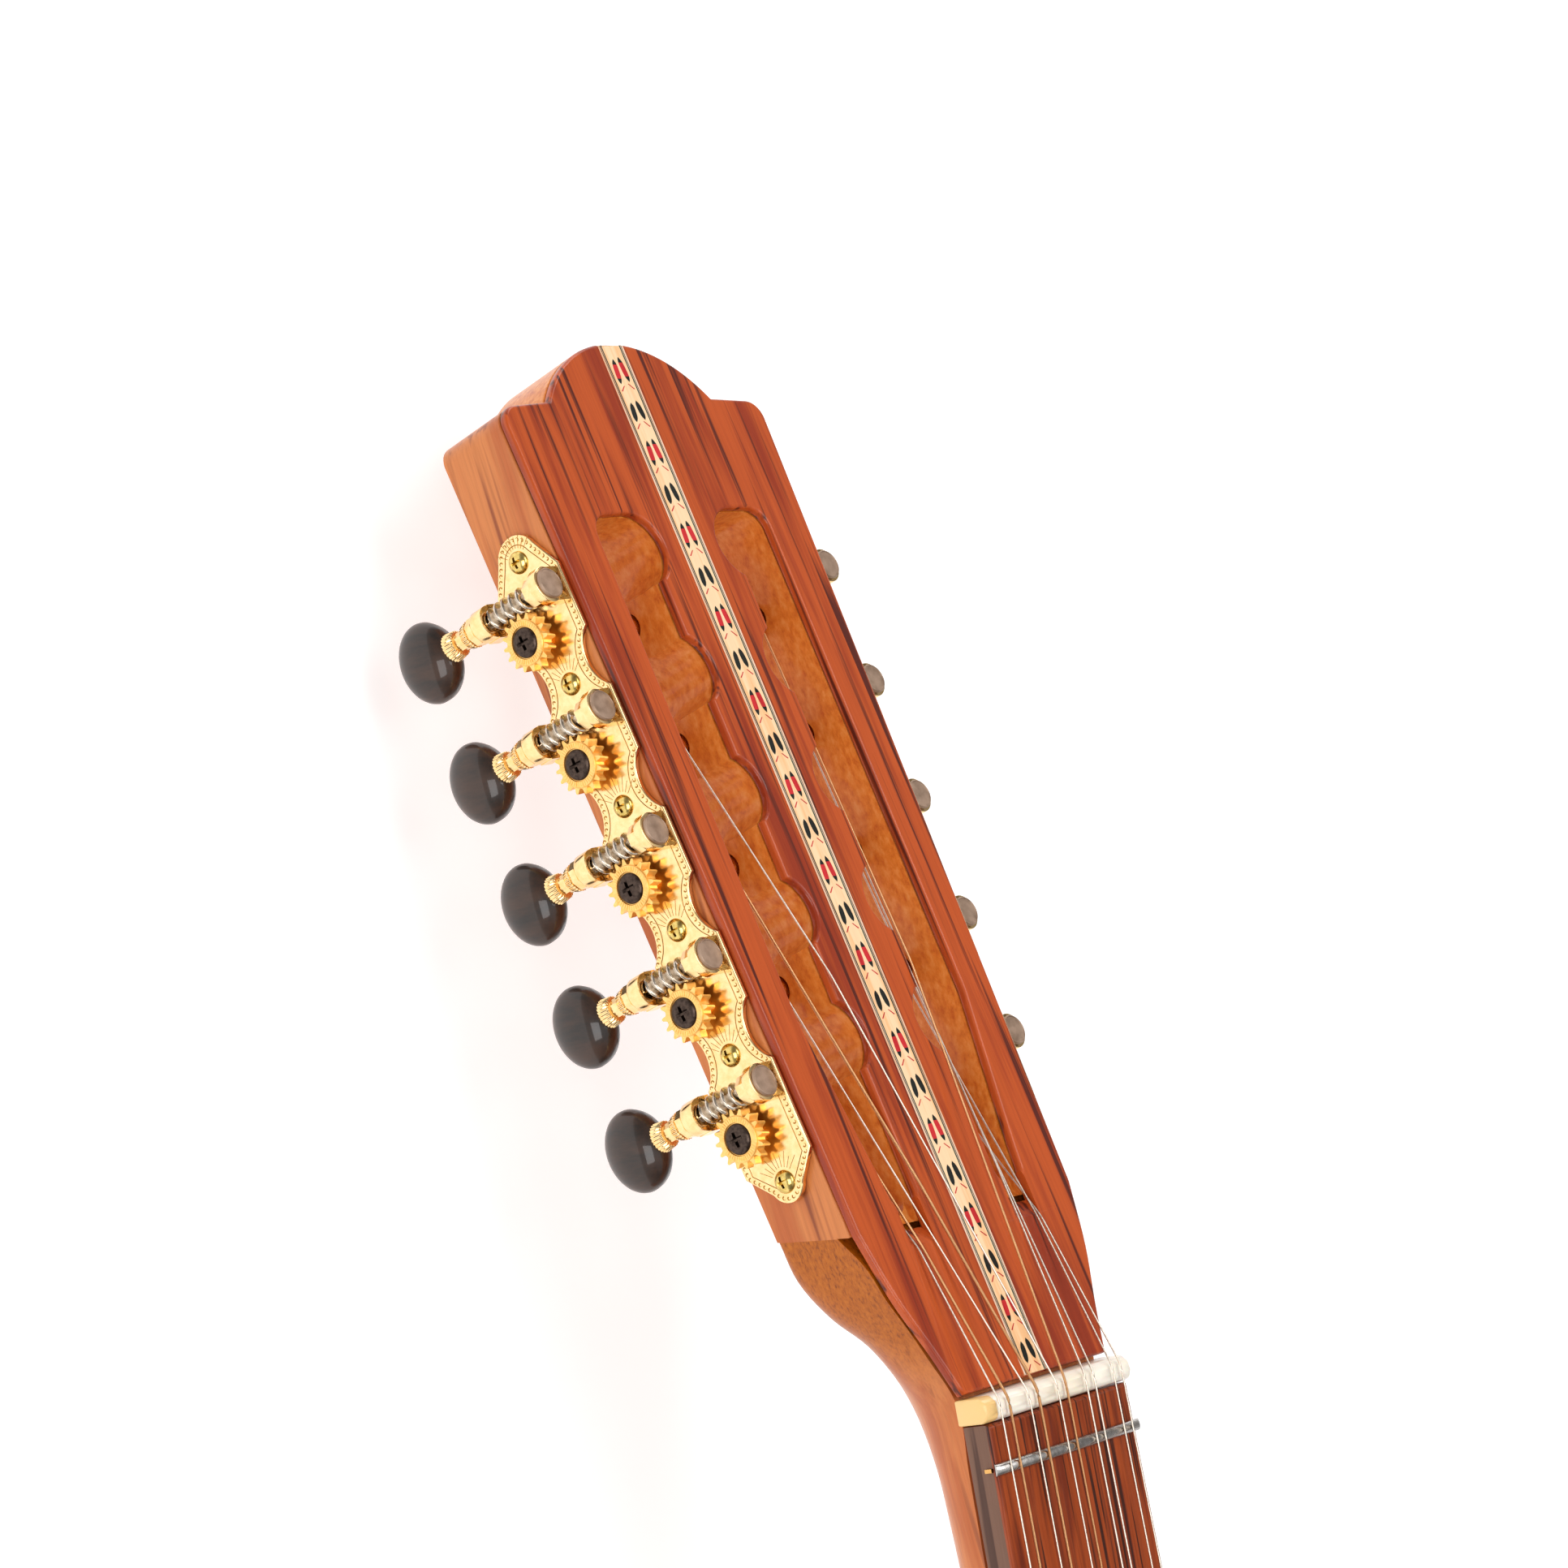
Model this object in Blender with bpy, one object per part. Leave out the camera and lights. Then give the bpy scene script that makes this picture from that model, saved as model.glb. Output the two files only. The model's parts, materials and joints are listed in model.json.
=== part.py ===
"""A ten-string, five-course flat-backed bouzouki, lying on its back with its strings up.

World axes: +X to the player's treble side, +Y towards the headstock, +Z up.
The origin is the middle of the flat back. All sizes are in metres.
"""
import math

import bmesh
import bpy
from mathutils import Matrix, Vector

GAP = 0.0003

# Body
BODY_LENGTH = 0.430
BODY_HALF_WIDTH = 0.167
BODY_DEPTH = 0.090
BODY_PEAR = 0.30
OUTLINE_POINTS = 56
PLATE_THICK = 0.0035
SIDE_THICK = 0.003
BLOCK_NECK = 0.060
BLOCK_TAIL = 0.032
SOUND_HOLE_R = 0.042
SOUND_HOLE_Y = 0.072

# Strings, scale and fretboard
SCALE = 0.620
BODY_FRET = 14
LAST_FRET = 20
FRET_HEIGHT = 0.0010
FRET_HALF_WIDTH = 0.0011
ZERO_FRET_TO_NUT = 0.0084
BOARD_THICK = 0.006
BOARD_HALF_NUT = 0.0225
BOARD_HALF_END = 0.0300
COURSES = 5
COURSE_STEP_NUT = 0.0090
COURSE_STEP_SADDLE = 0.0120
PAIR_HALF = 0.00135
STRING_RADII = (0.00026, 0.00042, 0.00026, 0.00046, 0.00026, 0.00036, 0.0003, 0.0003, 0.00026, 0.00026)

# Headstock, in its own frame: x right, y towards the tip, z out of its face
TILT = math.radians(15)
NUT_BACK = -0.1595
VENEER_END = NUT_BACK + 0.0007
FACE = 0.0125
VENEER_THICK = 0.002
CORE_BACK = -0.0056
FACE_BELOW_BOARD = 0.0035
NUT_THICK = 0.005
NUT_TOP = 0.0009
LOWER_CORNER = -0.1258
CARVED_LEAN = 0.0053
SHOULDER = 0.0412
CORNER_R = 0.004
CREST_R = 0.030
CREST_TOP = 0.054
INLAY_HALF = 0.0037
INLAY_THICK = 0.001

# Tuning machines, on side lines that open towards the tip
PLATE_LINE = 0.03937
SIDE_SLOPE = 0.0309
TUNERS = 5
TUNER_STEP = 0.025
FIRST_GEAR = -0.0014
PLATE_TOP = -0.0006
PLATE_METAL = 0.0012
PLATE_MIDDLE = 0.0030
PLATE_HALF = 0.0082
FIRST_SCREW = 0.0133
POST_R = 0.0027
POST_HOLE_R = 0.0031
POST_DEPTH = 0.029
TEETH = 16
WORM_LEAD = 0.002
WORM_OFFSET = 0.0072
WORM_OUT = 0.0023
WORM_CREST_R = 0.00255
WORM_ROOT_R = 0.00145
WORM_HALF = 0.0050
SHAFT_HOLE_R = 0.0019
GEAR_LOW = 0.0009
GEAR_HIGH = 0.0031
BUTTON_OUT = -0.02375
BUTTON_HALF_WIDE = 0.0080
BUTTON_HALF_LONG = 0.0066

# Slots between the wings and the middle rib
SLOT_OUTER = 0.0257
SLOT_INNER = 0.0125
POCKET_R = 0.0074
POCKET_X = 0.0156
FIRST_POCKET = 0.0106
SLOT_TAPER_START = -0.085
SLOT_END = -0.124
SLOT_END_X = 0.0165
SLOT_END_R = 0.0041
RAMP_START = -0.1312

GEAR_PITCH_R = TEETH * WORM_LEAD / (2 * math.pi)
BOARD_TOP = BODY_DEPTH + GAP + BOARD_THICK
ZERO_FRET_Y = BODY_LENGTH / 2 + SCALE * (1 - 2 ** (-BODY_FRET / 12))
SADDLE_Y = ZERO_FRET_Y - SCALE
NUT_FRONT_Y = ZERO_FRET_Y + ZERO_FRET_TO_NUT
NUT_BACK_Y = NUT_FRONT_Y + NUT_THICK
BOARD_END_Y = ZERO_FRET_Y - SCALE * (1 - 2 ** (-LAST_FRET / 12)) - 0.006


def head_frame():
    turn = Matrix.Rotation(-TILT, 4, "X")
    nut_corner = Vector((0, NUT_BACK_Y, BOARD_TOP - FACE_BELOW_BOARD))
    return Matrix.Translation(nut_corner - turn @ Vector((0, NUT_BACK, FACE))) @ turn


HEAD = head_frame()


def clear_scene():
    for obj in list(bpy.data.objects):
        bpy.data.objects.remove(obj)


def material(name, colour, roughness, metallic=0.0):
    made = bpy.data.materials.get(name)
    if made is None:
        made = bpy.data.materials.new(name)
        made.use_nodes = True
        shader = made.node_tree.nodes["Principled BSDF"]
        shader.inputs["Base Color"].default_value = (*colour, 1.0)
        shader.inputs["Roughness"].default_value = roughness
        shader.inputs["Metallic"].default_value = metallic
    return made


def rosewood():
    return material("rosewood", (0.29, 0.07, 0.03), 0.2)


def mahogany():
    return material("mahogany", (0.45, 0.19, 0.08), 0.35)


def spruce():
    return material("spruce", (0.75, 0.52, 0.28), 0.4)


def bone():
    return material("bone", (0.93, 0.84, 0.68), 0.35)


def gold():
    return material("gold_plate", (0.90, 0.62, 0.22), 0.22, 1.0)


def nickel():
    return material("nickel", (0.62, 0.58, 0.52), 0.3, 1.0)


def black_plastic():
    return material("black_plastic", (0.03, 0.03, 0.03), 0.3)


def string_steel():
    return material("string_steel", (0.8, 0.8, 0.8), 0.25, 1.0)


def string_bronze():
    return material("string_bronze", (0.80, 0.45, 0.2), 0.3, 1.0)


def add_object(name, bm, look, frame=Matrix.Identity(4)):
    """Turns a closed mesh, given in the frame's own axes, into a named object at that frame."""
    bmesh.ops.remove_doubles(bm, verts=bm.verts, dist=1e-6)
    bmesh.ops.recalc_face_normals(bm, faces=bm.faces)
    mesh = bpy.data.meshes.new(name)
    bm.to_mesh(mesh)
    bm.free()
    mesh.shade_smooth()
    mesh.set_sharp_from_angle(angle=math.radians(35))
    obj = bpy.data.objects.new(name, mesh)
    obj.matrix_world = frame
    bpy.context.scene.collection.objects.link(obj)
    if look is not None:
        mesh.materials.append(look)
    return obj


def helper(name, bm, frame=Matrix.Identity(4)):
    """A shape that only cuts or joins another, and is not a part itself."""
    obj = add_object(name, bm, None, frame)
    obj.hide_render = True
    obj.display_type = "WIRE"
    return obj


def combine(obj, other, operation):
    modifier = obj.modifiers.new(other.name, "BOOLEAN")
    modifier.operation = operation
    modifier.object = other
    modifier.solver = "EXACT"


def loft(rings):
    """A closed mesh through rings with equal point counts, with a flat cap at each end."""
    bm = bmesh.new()
    rows = [[bm.verts.new(point) for point in ring] for ring in rings]
    count = len(rows[0])
    for low, high in zip(rows, rows[1:]):
        for i in range(count):
            j = (i + 1) % count
            bm.faces.new((low[i], low[j], high[j], high[i]))
    bm.faces.new(rows[0])
    bm.faces.new(rows[-1])
    return bm


def prism(outline, low, high):
    return loft([[(x, y, z) for x, y in outline] for z in (low, high)])


def box(x0, x1, y0, y1, z0, z1):
    return prism([(x0, y0), (x1, y0), (x1, y1), (x0, y1)], z0, z1)


def merged(*meshes):
    """Several closed shapes held in one mesh."""
    whole = bmesh.new()
    for part in meshes:
        copied = bpy.data.meshes.new("copied")
        part.to_mesh(copied)
        part.free()
        whole.from_mesh(copied)
        bpy.data.meshes.remove(copied)
    return whole


def arc(cx, cy, radius, start, end, steps):
    angles = [math.radians(start + (end - start) * k / steps) for k in range(steps + 1)]
    return [(cx + radius * math.cos(a), cy + radius * math.sin(a)) for a in angles]


def circle(cx, cy, radius, count):
    return arc(cx, cy, radius, 0, 360, count)[:-1]


def turned(axis_point, stations, count, phase=0.0):
    """A round piece along z, from (z, radius) stations."""
    cx, cy = axis_point
    rings = []
    for z, radius in stations:
        angles = [phase + 2 * math.pi * k / count for k in range(count)]
        rings.append([(cx + radius * math.cos(a), cy + radius * math.sin(a), z) for a in angles])
    return loft(rings)


# Body


def body_point(t, inset):
    """A point of the pear-shaped outline, t = 0 at the neck, moved in by inset along its normal."""
    x = BODY_HALF_WIDTH * math.sin(t) * (1 - BODY_PEAR * math.cos(t))
    y = BODY_LENGTH / 2 * math.cos(t)
    dx = BODY_HALF_WIDTH * (math.cos(t) - BODY_PEAR * math.cos(2 * t))
    dy = -BODY_LENGTH / 2 * math.sin(t)
    size = math.hypot(dx, dy)
    return x + inset * dy / size, y - inset * dx / size


def body_outline(inset):
    return [body_point(2 * math.pi * k / OUTLINE_POINTS, inset) for k in range(OUTLINE_POINTS)]


def body_half_width(y):
    return body_point(math.acos(2 * y / BODY_LENGTH), 0)[0]


def block_outline(edge_y, inset, towards_neck):
    """The end of the inside of the body, cut off straight at edge_y."""
    middle = 0 if towards_neck else OUTLINE_POINTS // 2
    reach = OUTLINE_POINTS // 4
    points = [body_point(2 * math.pi * k / OUTLINE_POINTS, inset)
              for k in range(middle - reach, middle + reach + 1)]
    if towards_neck:
        kept = [p for p in points if p[1] > edge_y]
    else:
        kept = [p for p in points if p[1] < edge_y]
    return [(kept[0][0], edge_y), *kept, (kept[-1][0], edge_y)]


def end_pin_hole(name, low_y, high_y, radius):
    frame = Matrix.Translation((0, 0, BODY_DEPTH * 0.45)) @ Matrix.Rotation(math.radians(90), 4, "X")
    return helper(name, turned((0, 0), [(-high_y, radius), (-low_y, radius)], 12), frame)


def build_body():
    top_low = BODY_DEPTH - PLATE_THICK
    inside_low = PLATE_THICK + GAP
    inside_high = top_low - GAP
    add_object("back", prism(body_outline(0), 0, PLATE_THICK), mahogany())
    soundboard = add_object("soundboard", prism(body_outline(0), top_low, BODY_DEPTH), spruce())
    hole = turned((0, SOUND_HOLE_Y), [(0.07, SOUND_HOLE_R), (0.1, SOUND_HOLE_R)], 28)
    combine(soundboard, helper("sound_hole", hole), "DIFFERENCE")
    sides = add_object("sides", prism(body_outline(0), inside_low, inside_high), mahogany())
    hollow = prism(body_outline(SIDE_THICK), 0, BODY_DEPTH)
    combine(sides, helper("sides_hollow", hollow), "DIFFERENCE")
    pin_hole = end_pin_hole("tail_pin_hole", -BODY_LENGTH / 2 - 0.01, -BODY_LENGTH / 2 + 0.018, 0.0043)
    combine(sides, pin_hole, "DIFFERENCE")
    block_inset = SIDE_THICK + GAP
    neck_edge = BODY_LENGTH / 2 - BLOCK_NECK
    tail_edge = -BODY_LENGTH / 2 + BLOCK_TAIL
    add_object("neck_block", prism(block_outline(neck_edge, block_inset, True), inside_low + GAP,
                                   inside_high - GAP), mahogany())
    tail_block = add_object("tail_block", prism(block_outline(tail_edge, block_inset, False),
                                                inside_low + GAP, inside_high - GAP), mahogany())
    combine(tail_block, pin_hole, "DIFFERENCE")
    brace("top_brace_upper", 0.133, top_low - GAP - 0.013, top_low - GAP)
    brace("top_brace_lower", 0.012, top_low - GAP - 0.013, top_low - GAP)
    brace("back_brace", -0.040, inside_low, inside_low + 0.014)


def brace(name, y, low, high):
    """A wooden bar that runs nearly from side to side."""
    half = body_half_width(y) - 0.012
    add_object(name, box(-half, half, y - 0.004, y + 0.004, low, high), spruce())


def build_tail():
    outer = -BODY_LENGTH / 2 - GAP
    metal = 0.002
    low = BODY_DEPTH + GAP
    high = low + metal
    front = -0.142
    half = 0.034
    side_profile = [(outer, low), (front, low), (front, low + 0.006), (front - metal, low + 0.006),
                    (front - metal, high), (outer - metal, high), (outer - metal, 0.028), (outer, 0.028)]
    tailpiece = add_object("tailpiece", loft([[(x, y, z) for y, z in side_profile] for x in (-half, half)]),
                           gold())
    pin_hole = end_pin_hole("tailpiece_pin_hole", outer - 0.004, outer + 0.002, 0.0044)
    combine(tailpiece, pin_hole, "DIFFERENCE")
    pin_frame = Matrix.Translation((0, outer - metal, BODY_DEPTH * 0.45)) @ Matrix.Rotation(
        math.radians(90), 4, "X")
    stations = [(-0.017, 0.0035), (0.0003, 0.004), (0.0006, 0.0075), (0.003, 0.0078), (0.006, 0.005),
                (0.010, 0.0072), (0.0125, 0.0068), (0.0135, 0.004)]
    add_object("end_pin", turned((0, 0), stations, 14), black_plastic(), pin_frame)


def build_bridge():
    low = BODY_DEPTH + GAP
    high = low + 0.0079
    half = 0.066
    feet = [(-half, low), (-half + 0.03, low), (-half + 0.036, low + 0.0028), (half - 0.036, low + 0.0028),
            (half - 0.03, low), (half, low), (half, low + 0.003), (half - 0.03, high), (0.03 - half, high),
            (-half, low + 0.003)]
    rings = [[(x, SADDLE_Y + y, z) for x, z in feet] for y in (-0.006, 0.006)]
    add_object("bridge", loft(rings), rosewood())
    saddle_low = high + GAP
    top = saddle_low + 0.0028
    profile = [(-0.0016, saddle_low), (0.0016, saddle_low), (0.0016, top - 0.0008), (0.0008, top),
               (-0.0008, top), (-0.0016, top - 0.0008)]
    saddle = loft([[(x, SADDLE_Y + y, z) for y, z in profile] for x in (-0.029, 0.029)])
    add_object("saddle", saddle, bone())
    return top


# Neck and headstock


def side_line(y, inset=0.0):
    """Half width of the headstock's wood at y, at the faces that carry the machine plates."""
    return PLATE_LINE + PLATE_TOP - PLATE_METAL - GAP - inset + SIDE_SLOPE * y


def half_board(y):
    share = (ZERO_FRET_Y - y) / (ZERO_FRET_Y - BOARD_END_Y)
    return BOARD_HALF_NUT + (BOARD_HALF_END - BOARD_HALF_NUT) * share


def head_outline(bottom):
    """Right half then left half of the headstock's face outline, from the bottom line upwards."""
    corner_x = side_line(SHOULDER) - CORNER_R
    crest_y = CREST_TOP - CREST_R
    cusp_angle = math.degrees(math.asin((SHOULDER + 0.0006 - crest_y) / CREST_R))
    right = [] if bottom > NUT_BACK else [(0.0227, VENEER_END), (0.0257, -0.1502), (0.0302, -0.1387)]
    right += [(side_line(LOWER_CORNER), max(LOWER_CORNER, bottom))]
    right += arc(corner_x, SHOULDER - CORNER_R, CORNER_R, 2, 88, 4)
    right += arc(0, crest_y, CREST_R, cusp_angle, 90, 7)
    return right + [(-x, y) for x, y in reversed(right[:-1])]


def slot_outline():
    """One slot, at +x: a straight channel with five half-round pockets into the middle rib."""
    outer_end = SLOT_END_X + SLOT_END_R
    outline = [(SLOT_OUTER, SLOT_TAPER_START), (SLOT_OUTER, FIRST_POCKET + 0.002)]
    outline += arc(SLOT_OUTER - 0.0045, FIRST_POCKET + 0.0028, 0.0045, 0, 80, 3)[1:]
    reach = math.degrees(math.acos((POCKET_X - SLOT_INNER) / POCKET_R))
    for k in range(TUNERS):
        start = 90 if k == 0 else 180 - reach
        steps = 7 if k == 0 else 6
        outline += arc(POCKET_X, FIRST_POCKET - TUNER_STEP * k, POCKET_R, start, 180 + reach, steps)
    outline += arc(SLOT_END_X, SLOT_END + SLOT_END_R, SLOT_END_R, 190, 350, 5)
    return outline + [(outer_end + 0.0004, SLOT_END + 0.008)]


def slot_cutters():
    """Both slots, and the ramp that each string pair runs over at the nut end of its slot."""
    right = slot_outline()
    left = [(-x, y) for x, y in right]
    slots = merged(prism(right, -0.02, 0.03), prism(left, -0.02, 0.03))
    low, high = SLOT_END_X - SLOT_END_R + 0.0004, SLOT_END_X + SLOT_END_R - 0.0004
    drop = 0.0072 * math.tan(math.radians(27))
    ramps = []
    for side in (-1, 1):
        wedge = [(RAMP_START, FACE + 0.0005), (SLOT_END + 0.004, FACE + 0.0005),
                 (SLOT_END + 0.004, FACE - drop), (SLOT_END - 0.0002, FACE - drop)]
        ramps.append(loft([[(side * x, y, z) for y, z in wedge] for x in (low, high)]))
    return helper("slots", slots, HEAD), helper("string_ramps", merged(*ramps), HEAD)


def neck_ring(half, top, depth, power, steps=12):
    """A D-shaped section: flat on top, and rounder or squarer below as power says."""
    points = []
    for k in range(steps + 1):
        angle = math.pi + math.pi * k / steps
        across, down = math.cos(angle), -math.sin(angle)
        points.append((half * math.copysign(abs(across) ** (2 / power), across),
                       top - depth * abs(down) ** (2 / power)))
    return points


def build_neck(slots, ramps):
    top = BODY_DEPTH
    core_top = FACE - VENEER_THICK - GAP
    joint = BODY_LENGTH / 2
    rings = []
    stations = [(joint - 0.015, 0.085, 2.0), (joint + 0.006, 0.084, 2.0), (joint + 0.016, 0.074, 2.0),
                (joint + 0.030, 0.044, 2.0), (joint + 0.046, 0.024, 2.1), (joint + 0.070, 0.0178, 2.2),
                (joint + 0.200, 0.0155, 2.2), (joint + 0.315, 0.0135, 2.2), (joint + 0.335, 0.0149, 2.2),
                (ZERO_FRET_Y, 0.0159, 2.2), (NUT_BACK_Y - 0.0012, 0.0200, 2.2)]
    for y, depth, power in stations:
        ring = neck_ring(half_board(y) - 0.0004, top, depth, power)
        rings.append([Vector((x, y, z)) for x, z in ring])
    into_head = [(-0.1502, 0.0257, 0.0172, 2.6, 0.0), (-0.1445, 0.0277, 0.0174, 3.2, 0.0012),
                 (-0.1387, 0.0302, 0.0184, 4.4, 0.0026), (-0.1320, 0.0320, 0.0182, 7.0, 0.0042),
                 (LOWER_CORNER - 0.0004, side_line(LOWER_CORNER) + 0.0004, core_top - CORE_BACK, 12.0,
                  CARVED_LEAN),
                 (LOWER_CORNER + 0.008, 0.0325, core_top - CORE_BACK - 0.0012, 12.0, 0.0)]
    for y, half, depth, power, lean in into_head:
        inside = 0.0006 if y > LOWER_CORNER else 0.0
        ring = neck_ring(half, core_top - inside, depth, power)
        rings.append([HEAD @ Vector((x, y + lean * (core_top - inside - z) / depth, z)) for x, z in ring])
    neck = add_object("neck", loft(rings), mahogany())
    core_rings = [[(x, y, z) for x, y in head_outline(bottom)]
                  for bottom, z in ((LOWER_CORNER + CARVED_LEAN, CORE_BACK), (LOWER_CORNER, core_top))]
    head_core = helper("head_core", loft(core_rings), HEAD)
    combine(neck, head_core, "UNION")
    combine(neck, slots, "DIFFERENCE")
    combine(neck, ramps, "DIFFERENCE")
    combine(neck, helper("body_clearance", prism(body_outline(-GAP), -0.01, 0.12)), "DIFFERENCE")
    for side in (-1, 1):
        combine(neck, post_holes(side), "DIFFERENCE")


def build_head_front(slots, ramps):
    low = FACE - VENEER_THICK
    veneer = add_object("headstock_veneer", prism(head_outline(NUT_BACK), low, FACE), rosewood(), HEAD)
    groove = box(-INLAY_HALF - GAP, INLAY_HALF + GAP, NUT_BACK - 0.01, CREST_TOP + 0.01,
                 FACE - INLAY_THICK - GAP, FACE + 0.01)
    combine(veneer, helper("inlay_groove", groove, HEAD), "DIFFERENCE")
    combine(veneer, slots, "DIFFERENCE")
    combine(veneer, ramps, "DIFFERENCE")
    inlay = box(-INLAY_HALF, INLAY_HALF, NUT_BACK + 0.0002, CREST_TOP - 0.0003, FACE - INLAY_THICK, FACE)
    add_object("headstock_inlay", inlay, bone(), HEAD)


def build_fretboard():
    low = BODY_DEPTH + GAP
    stations = [(BOARD_END_Y, 0.0)]
    for fret in range(LAST_FRET, 0, -1):
        y = ZERO_FRET_Y - SCALE * (1 - 2 ** (-fret / 12))
        stations += [(y - FRET_HALF_WIDTH, 0.0), (y, FRET_HEIGHT), (y + FRET_HALF_WIDTH, 0.0)]
    stations.append((NUT_FRONT_Y - GAP, 0.0))
    rings = []
    for y, rise in stations:
        half = half_board(y)
        high = BOARD_TOP + rise
        rings.append([(-half, y, low), (half, y, low), (half, y, high), (-half, y, high)])
    add_object("fretboard", loft(rings), rosewood())
    wire = [(-FRET_HALF_WIDTH, GAP), (FRET_HALF_WIDTH, GAP), (0.0006, FRET_HEIGHT), (-0.0006, FRET_HEIGHT)]
    half = BOARD_HALF_NUT + 0.0004
    zero_fret = loft([[(x, ZERO_FRET_Y + y, BOARD_TOP + z) for y, z in wire] for x in (-half, half)])
    add_object("zero_fret", zero_fret, nickel())
    nut_low, nut_high = BODY_DEPTH + GAP, BOARD_TOP + NUT_TOP
    y0, y1 = NUT_FRONT_Y, NUT_BACK_Y - GAP
    profile = [(y0, nut_low), (y1, nut_low), (y1, nut_high - 0.0016), (y1 - 0.0012, nut_high - 0.0003),
               (y0 + 0.0018, nut_high), (y0 + 0.0004, nut_high - 0.0006), (y0, nut_high - 0.0016)]
    half = BOARD_HALF_NUT + 0.0006
    add_object("nut", loft([[(x, y, z) for y, z in profile] for x in (-half, half)]), bone())


# Tuning machines. Their frame has x outwards from the side face and z out of the headstock's face.
# Its y runs towards the tip on the right side and towards the nut on the left.


def side_frame(side):
    slope = math.atan(SIDE_SLOPE)
    out = Vector((side * math.cos(slope), -math.sin(slope), 0))
    front = Vector((0, 0, 1))
    along = front.cross(out)
    turn = Matrix((out, along, front)).transposed().to_4x4()
    return HEAD @ Matrix.Translation((side * PLATE_LINE, 0, 0)) @ turn


def tuner_frame(side, index):
    return side_frame(side) @ Matrix.Translation((0, side * (FIRST_GEAR - TUNER_STEP * index), 0))


def facing_out(side, points):
    """Points given as (towards the tip, outwards, front), in the tuner frame's own axes."""
    return [(out, side * tip, front) for tip, out, front in points]


def across(side, cx, cz, radius, low, high, count):
    """A cylinder whose axis runs outwards."""
    ring = circle(cx, cz, radius, count)
    return loft([facing_out(side, [(x, out, z) for x, z in ring]) for out in (low, high)])


def post_holes(side):
    holes = []
    for k in range(TUNERS):
        tip = FIRST_GEAR - TUNER_STEP * k
        holes.append(across(side, tip, 0, POST_HOLE_R, -POST_DEPTH - GAP, 0.004, 12))
    return helper("post_holes_" + side_name(side), merged(*holes), side_frame(side))


def side_name(side):
    return "left" if side < 0 else "right"


def plate_outline():
    """The edge of a machine plate: straight beside each worm, scooped between tuners, round at its ends."""
    depth, half_chord = 0.0028, 0.0060
    radius = (half_chord ** 2 + depth ** 2) / (2 * depth)
    reach = math.degrees(math.asin(half_chord / radius))
    last_gear = FIRST_GEAR - TUNER_STEP * (TUNERS - 1)
    front = [(last_gear - 0.0068, PLATE_HALF)]
    for k in range(TUNERS - 1, 0, -1):
        middle = FIRST_GEAR - TUNER_STEP * k + 0.0168
        front += arc(middle, PLATE_HALF - depth + radius, radius, -90 - reach, -90 + reach, 4)
    front.append((FIRST_GEAR + 0.0108, PLATE_HALF))
    tip_end = arc(FIRST_SCREW, 0, 0.0052, 70, -70, 5)
    nut_end = arc(FIRST_SCREW - TUNER_STEP * TUNERS, 0, 0.0040, 250, 110, 4)
    back = [(tip, -reach_out) for tip, reach_out in reversed(front)]
    return [(tip, PLATE_MIDDLE + z) for tip, z in front + tip_end + back + nut_end]


def build_plate(side):
    name = side_name(side)
    frame = side_frame(side)
    low = PLATE_TOP - PLATE_METAL
    outline = plate_outline()
    sheet = loft([facing_out(side, [(x, out, z) for x, z in outline]) for out in (low, PLATE_TOP)])
    plate = add_object("machine_plate_" + name, sheet, gold(), frame)
    blocks, feet, bores, holes = [], [], [], []
    for k in range(TUNERS):
        gear = FIRST_GEAR - TUNER_STEP * k
        worm = gear + WORM_OFFSET
        for z0, z1, radius in ((0.0057, 0.0094, 0.0036), (-0.0087, -0.0057, 0.0033)):
            ring = [(worm + x, WORM_OUT + y) for x, y in arc(0, 0, radius, 0, 180, 5)]
            ring += [(worm - radius, low + 0.0002), (worm + radius, low + 0.0002)]
            blocks.append(loft([facing_out(side, [(x, y, z) for x, y in ring]) for z in (z0, z1)]))
        foot = [(worm - 0.0031, low + 0.0001), (worm + 0.0031, low + 0.0001),
                (worm + 0.0031, PLATE_TOP - 0.0001), (worm - 0.0031, PLATE_TOP - 0.0001)]
        feet.append(loft([facing_out(side, [(x, y, z) for x, y in foot]) for z in (-0.0083, -0.0010)]))
        bore = [(worm + x, WORM_OUT + y) for x, y in circle(0, 0, SHAFT_HOLE_R, 10)]
        bores.append(loft([facing_out(side, [(x, y, z) for x, y in bore]) for z in (-0.011, 0.012)]))
        holes.append(across(side, gear, 0, POST_HOLE_R, -0.004, 0.002, 12))
    combine(plate, helper("block_feet_" + name, merged(*feet), frame), "UNION")
    combine(plate, helper("worm_blocks_" + name, merged(*blocks), frame), "UNION")
    combine(plate, helper("worm_bores_" + name, merged(*bores), frame), "DIFFERENCE")
    combine(plate, helper("plate_holes_" + name, merged(*holes), frame), "DIFFERENCE")


def gear_ring(twist):
    """Sixteen teeth with a space facing the worm, turned by twist radians."""
    root, tip = GEAR_PITCH_R - 0.00069, GEAR_PITCH_R + 0.00045
    points = []
    for tooth in range(TEETH):
        middle = 2 * math.pi * (tooth + 0.5) / TEETH + twist
        for radius, half in ((root, -0.00055), (tip, -0.00022), (tip, 0.00022), (root, 0.00055)):
            angle = middle + half / radius
            points.append((radius * math.cos(angle), radius * math.sin(angle)))
    return points


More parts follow.
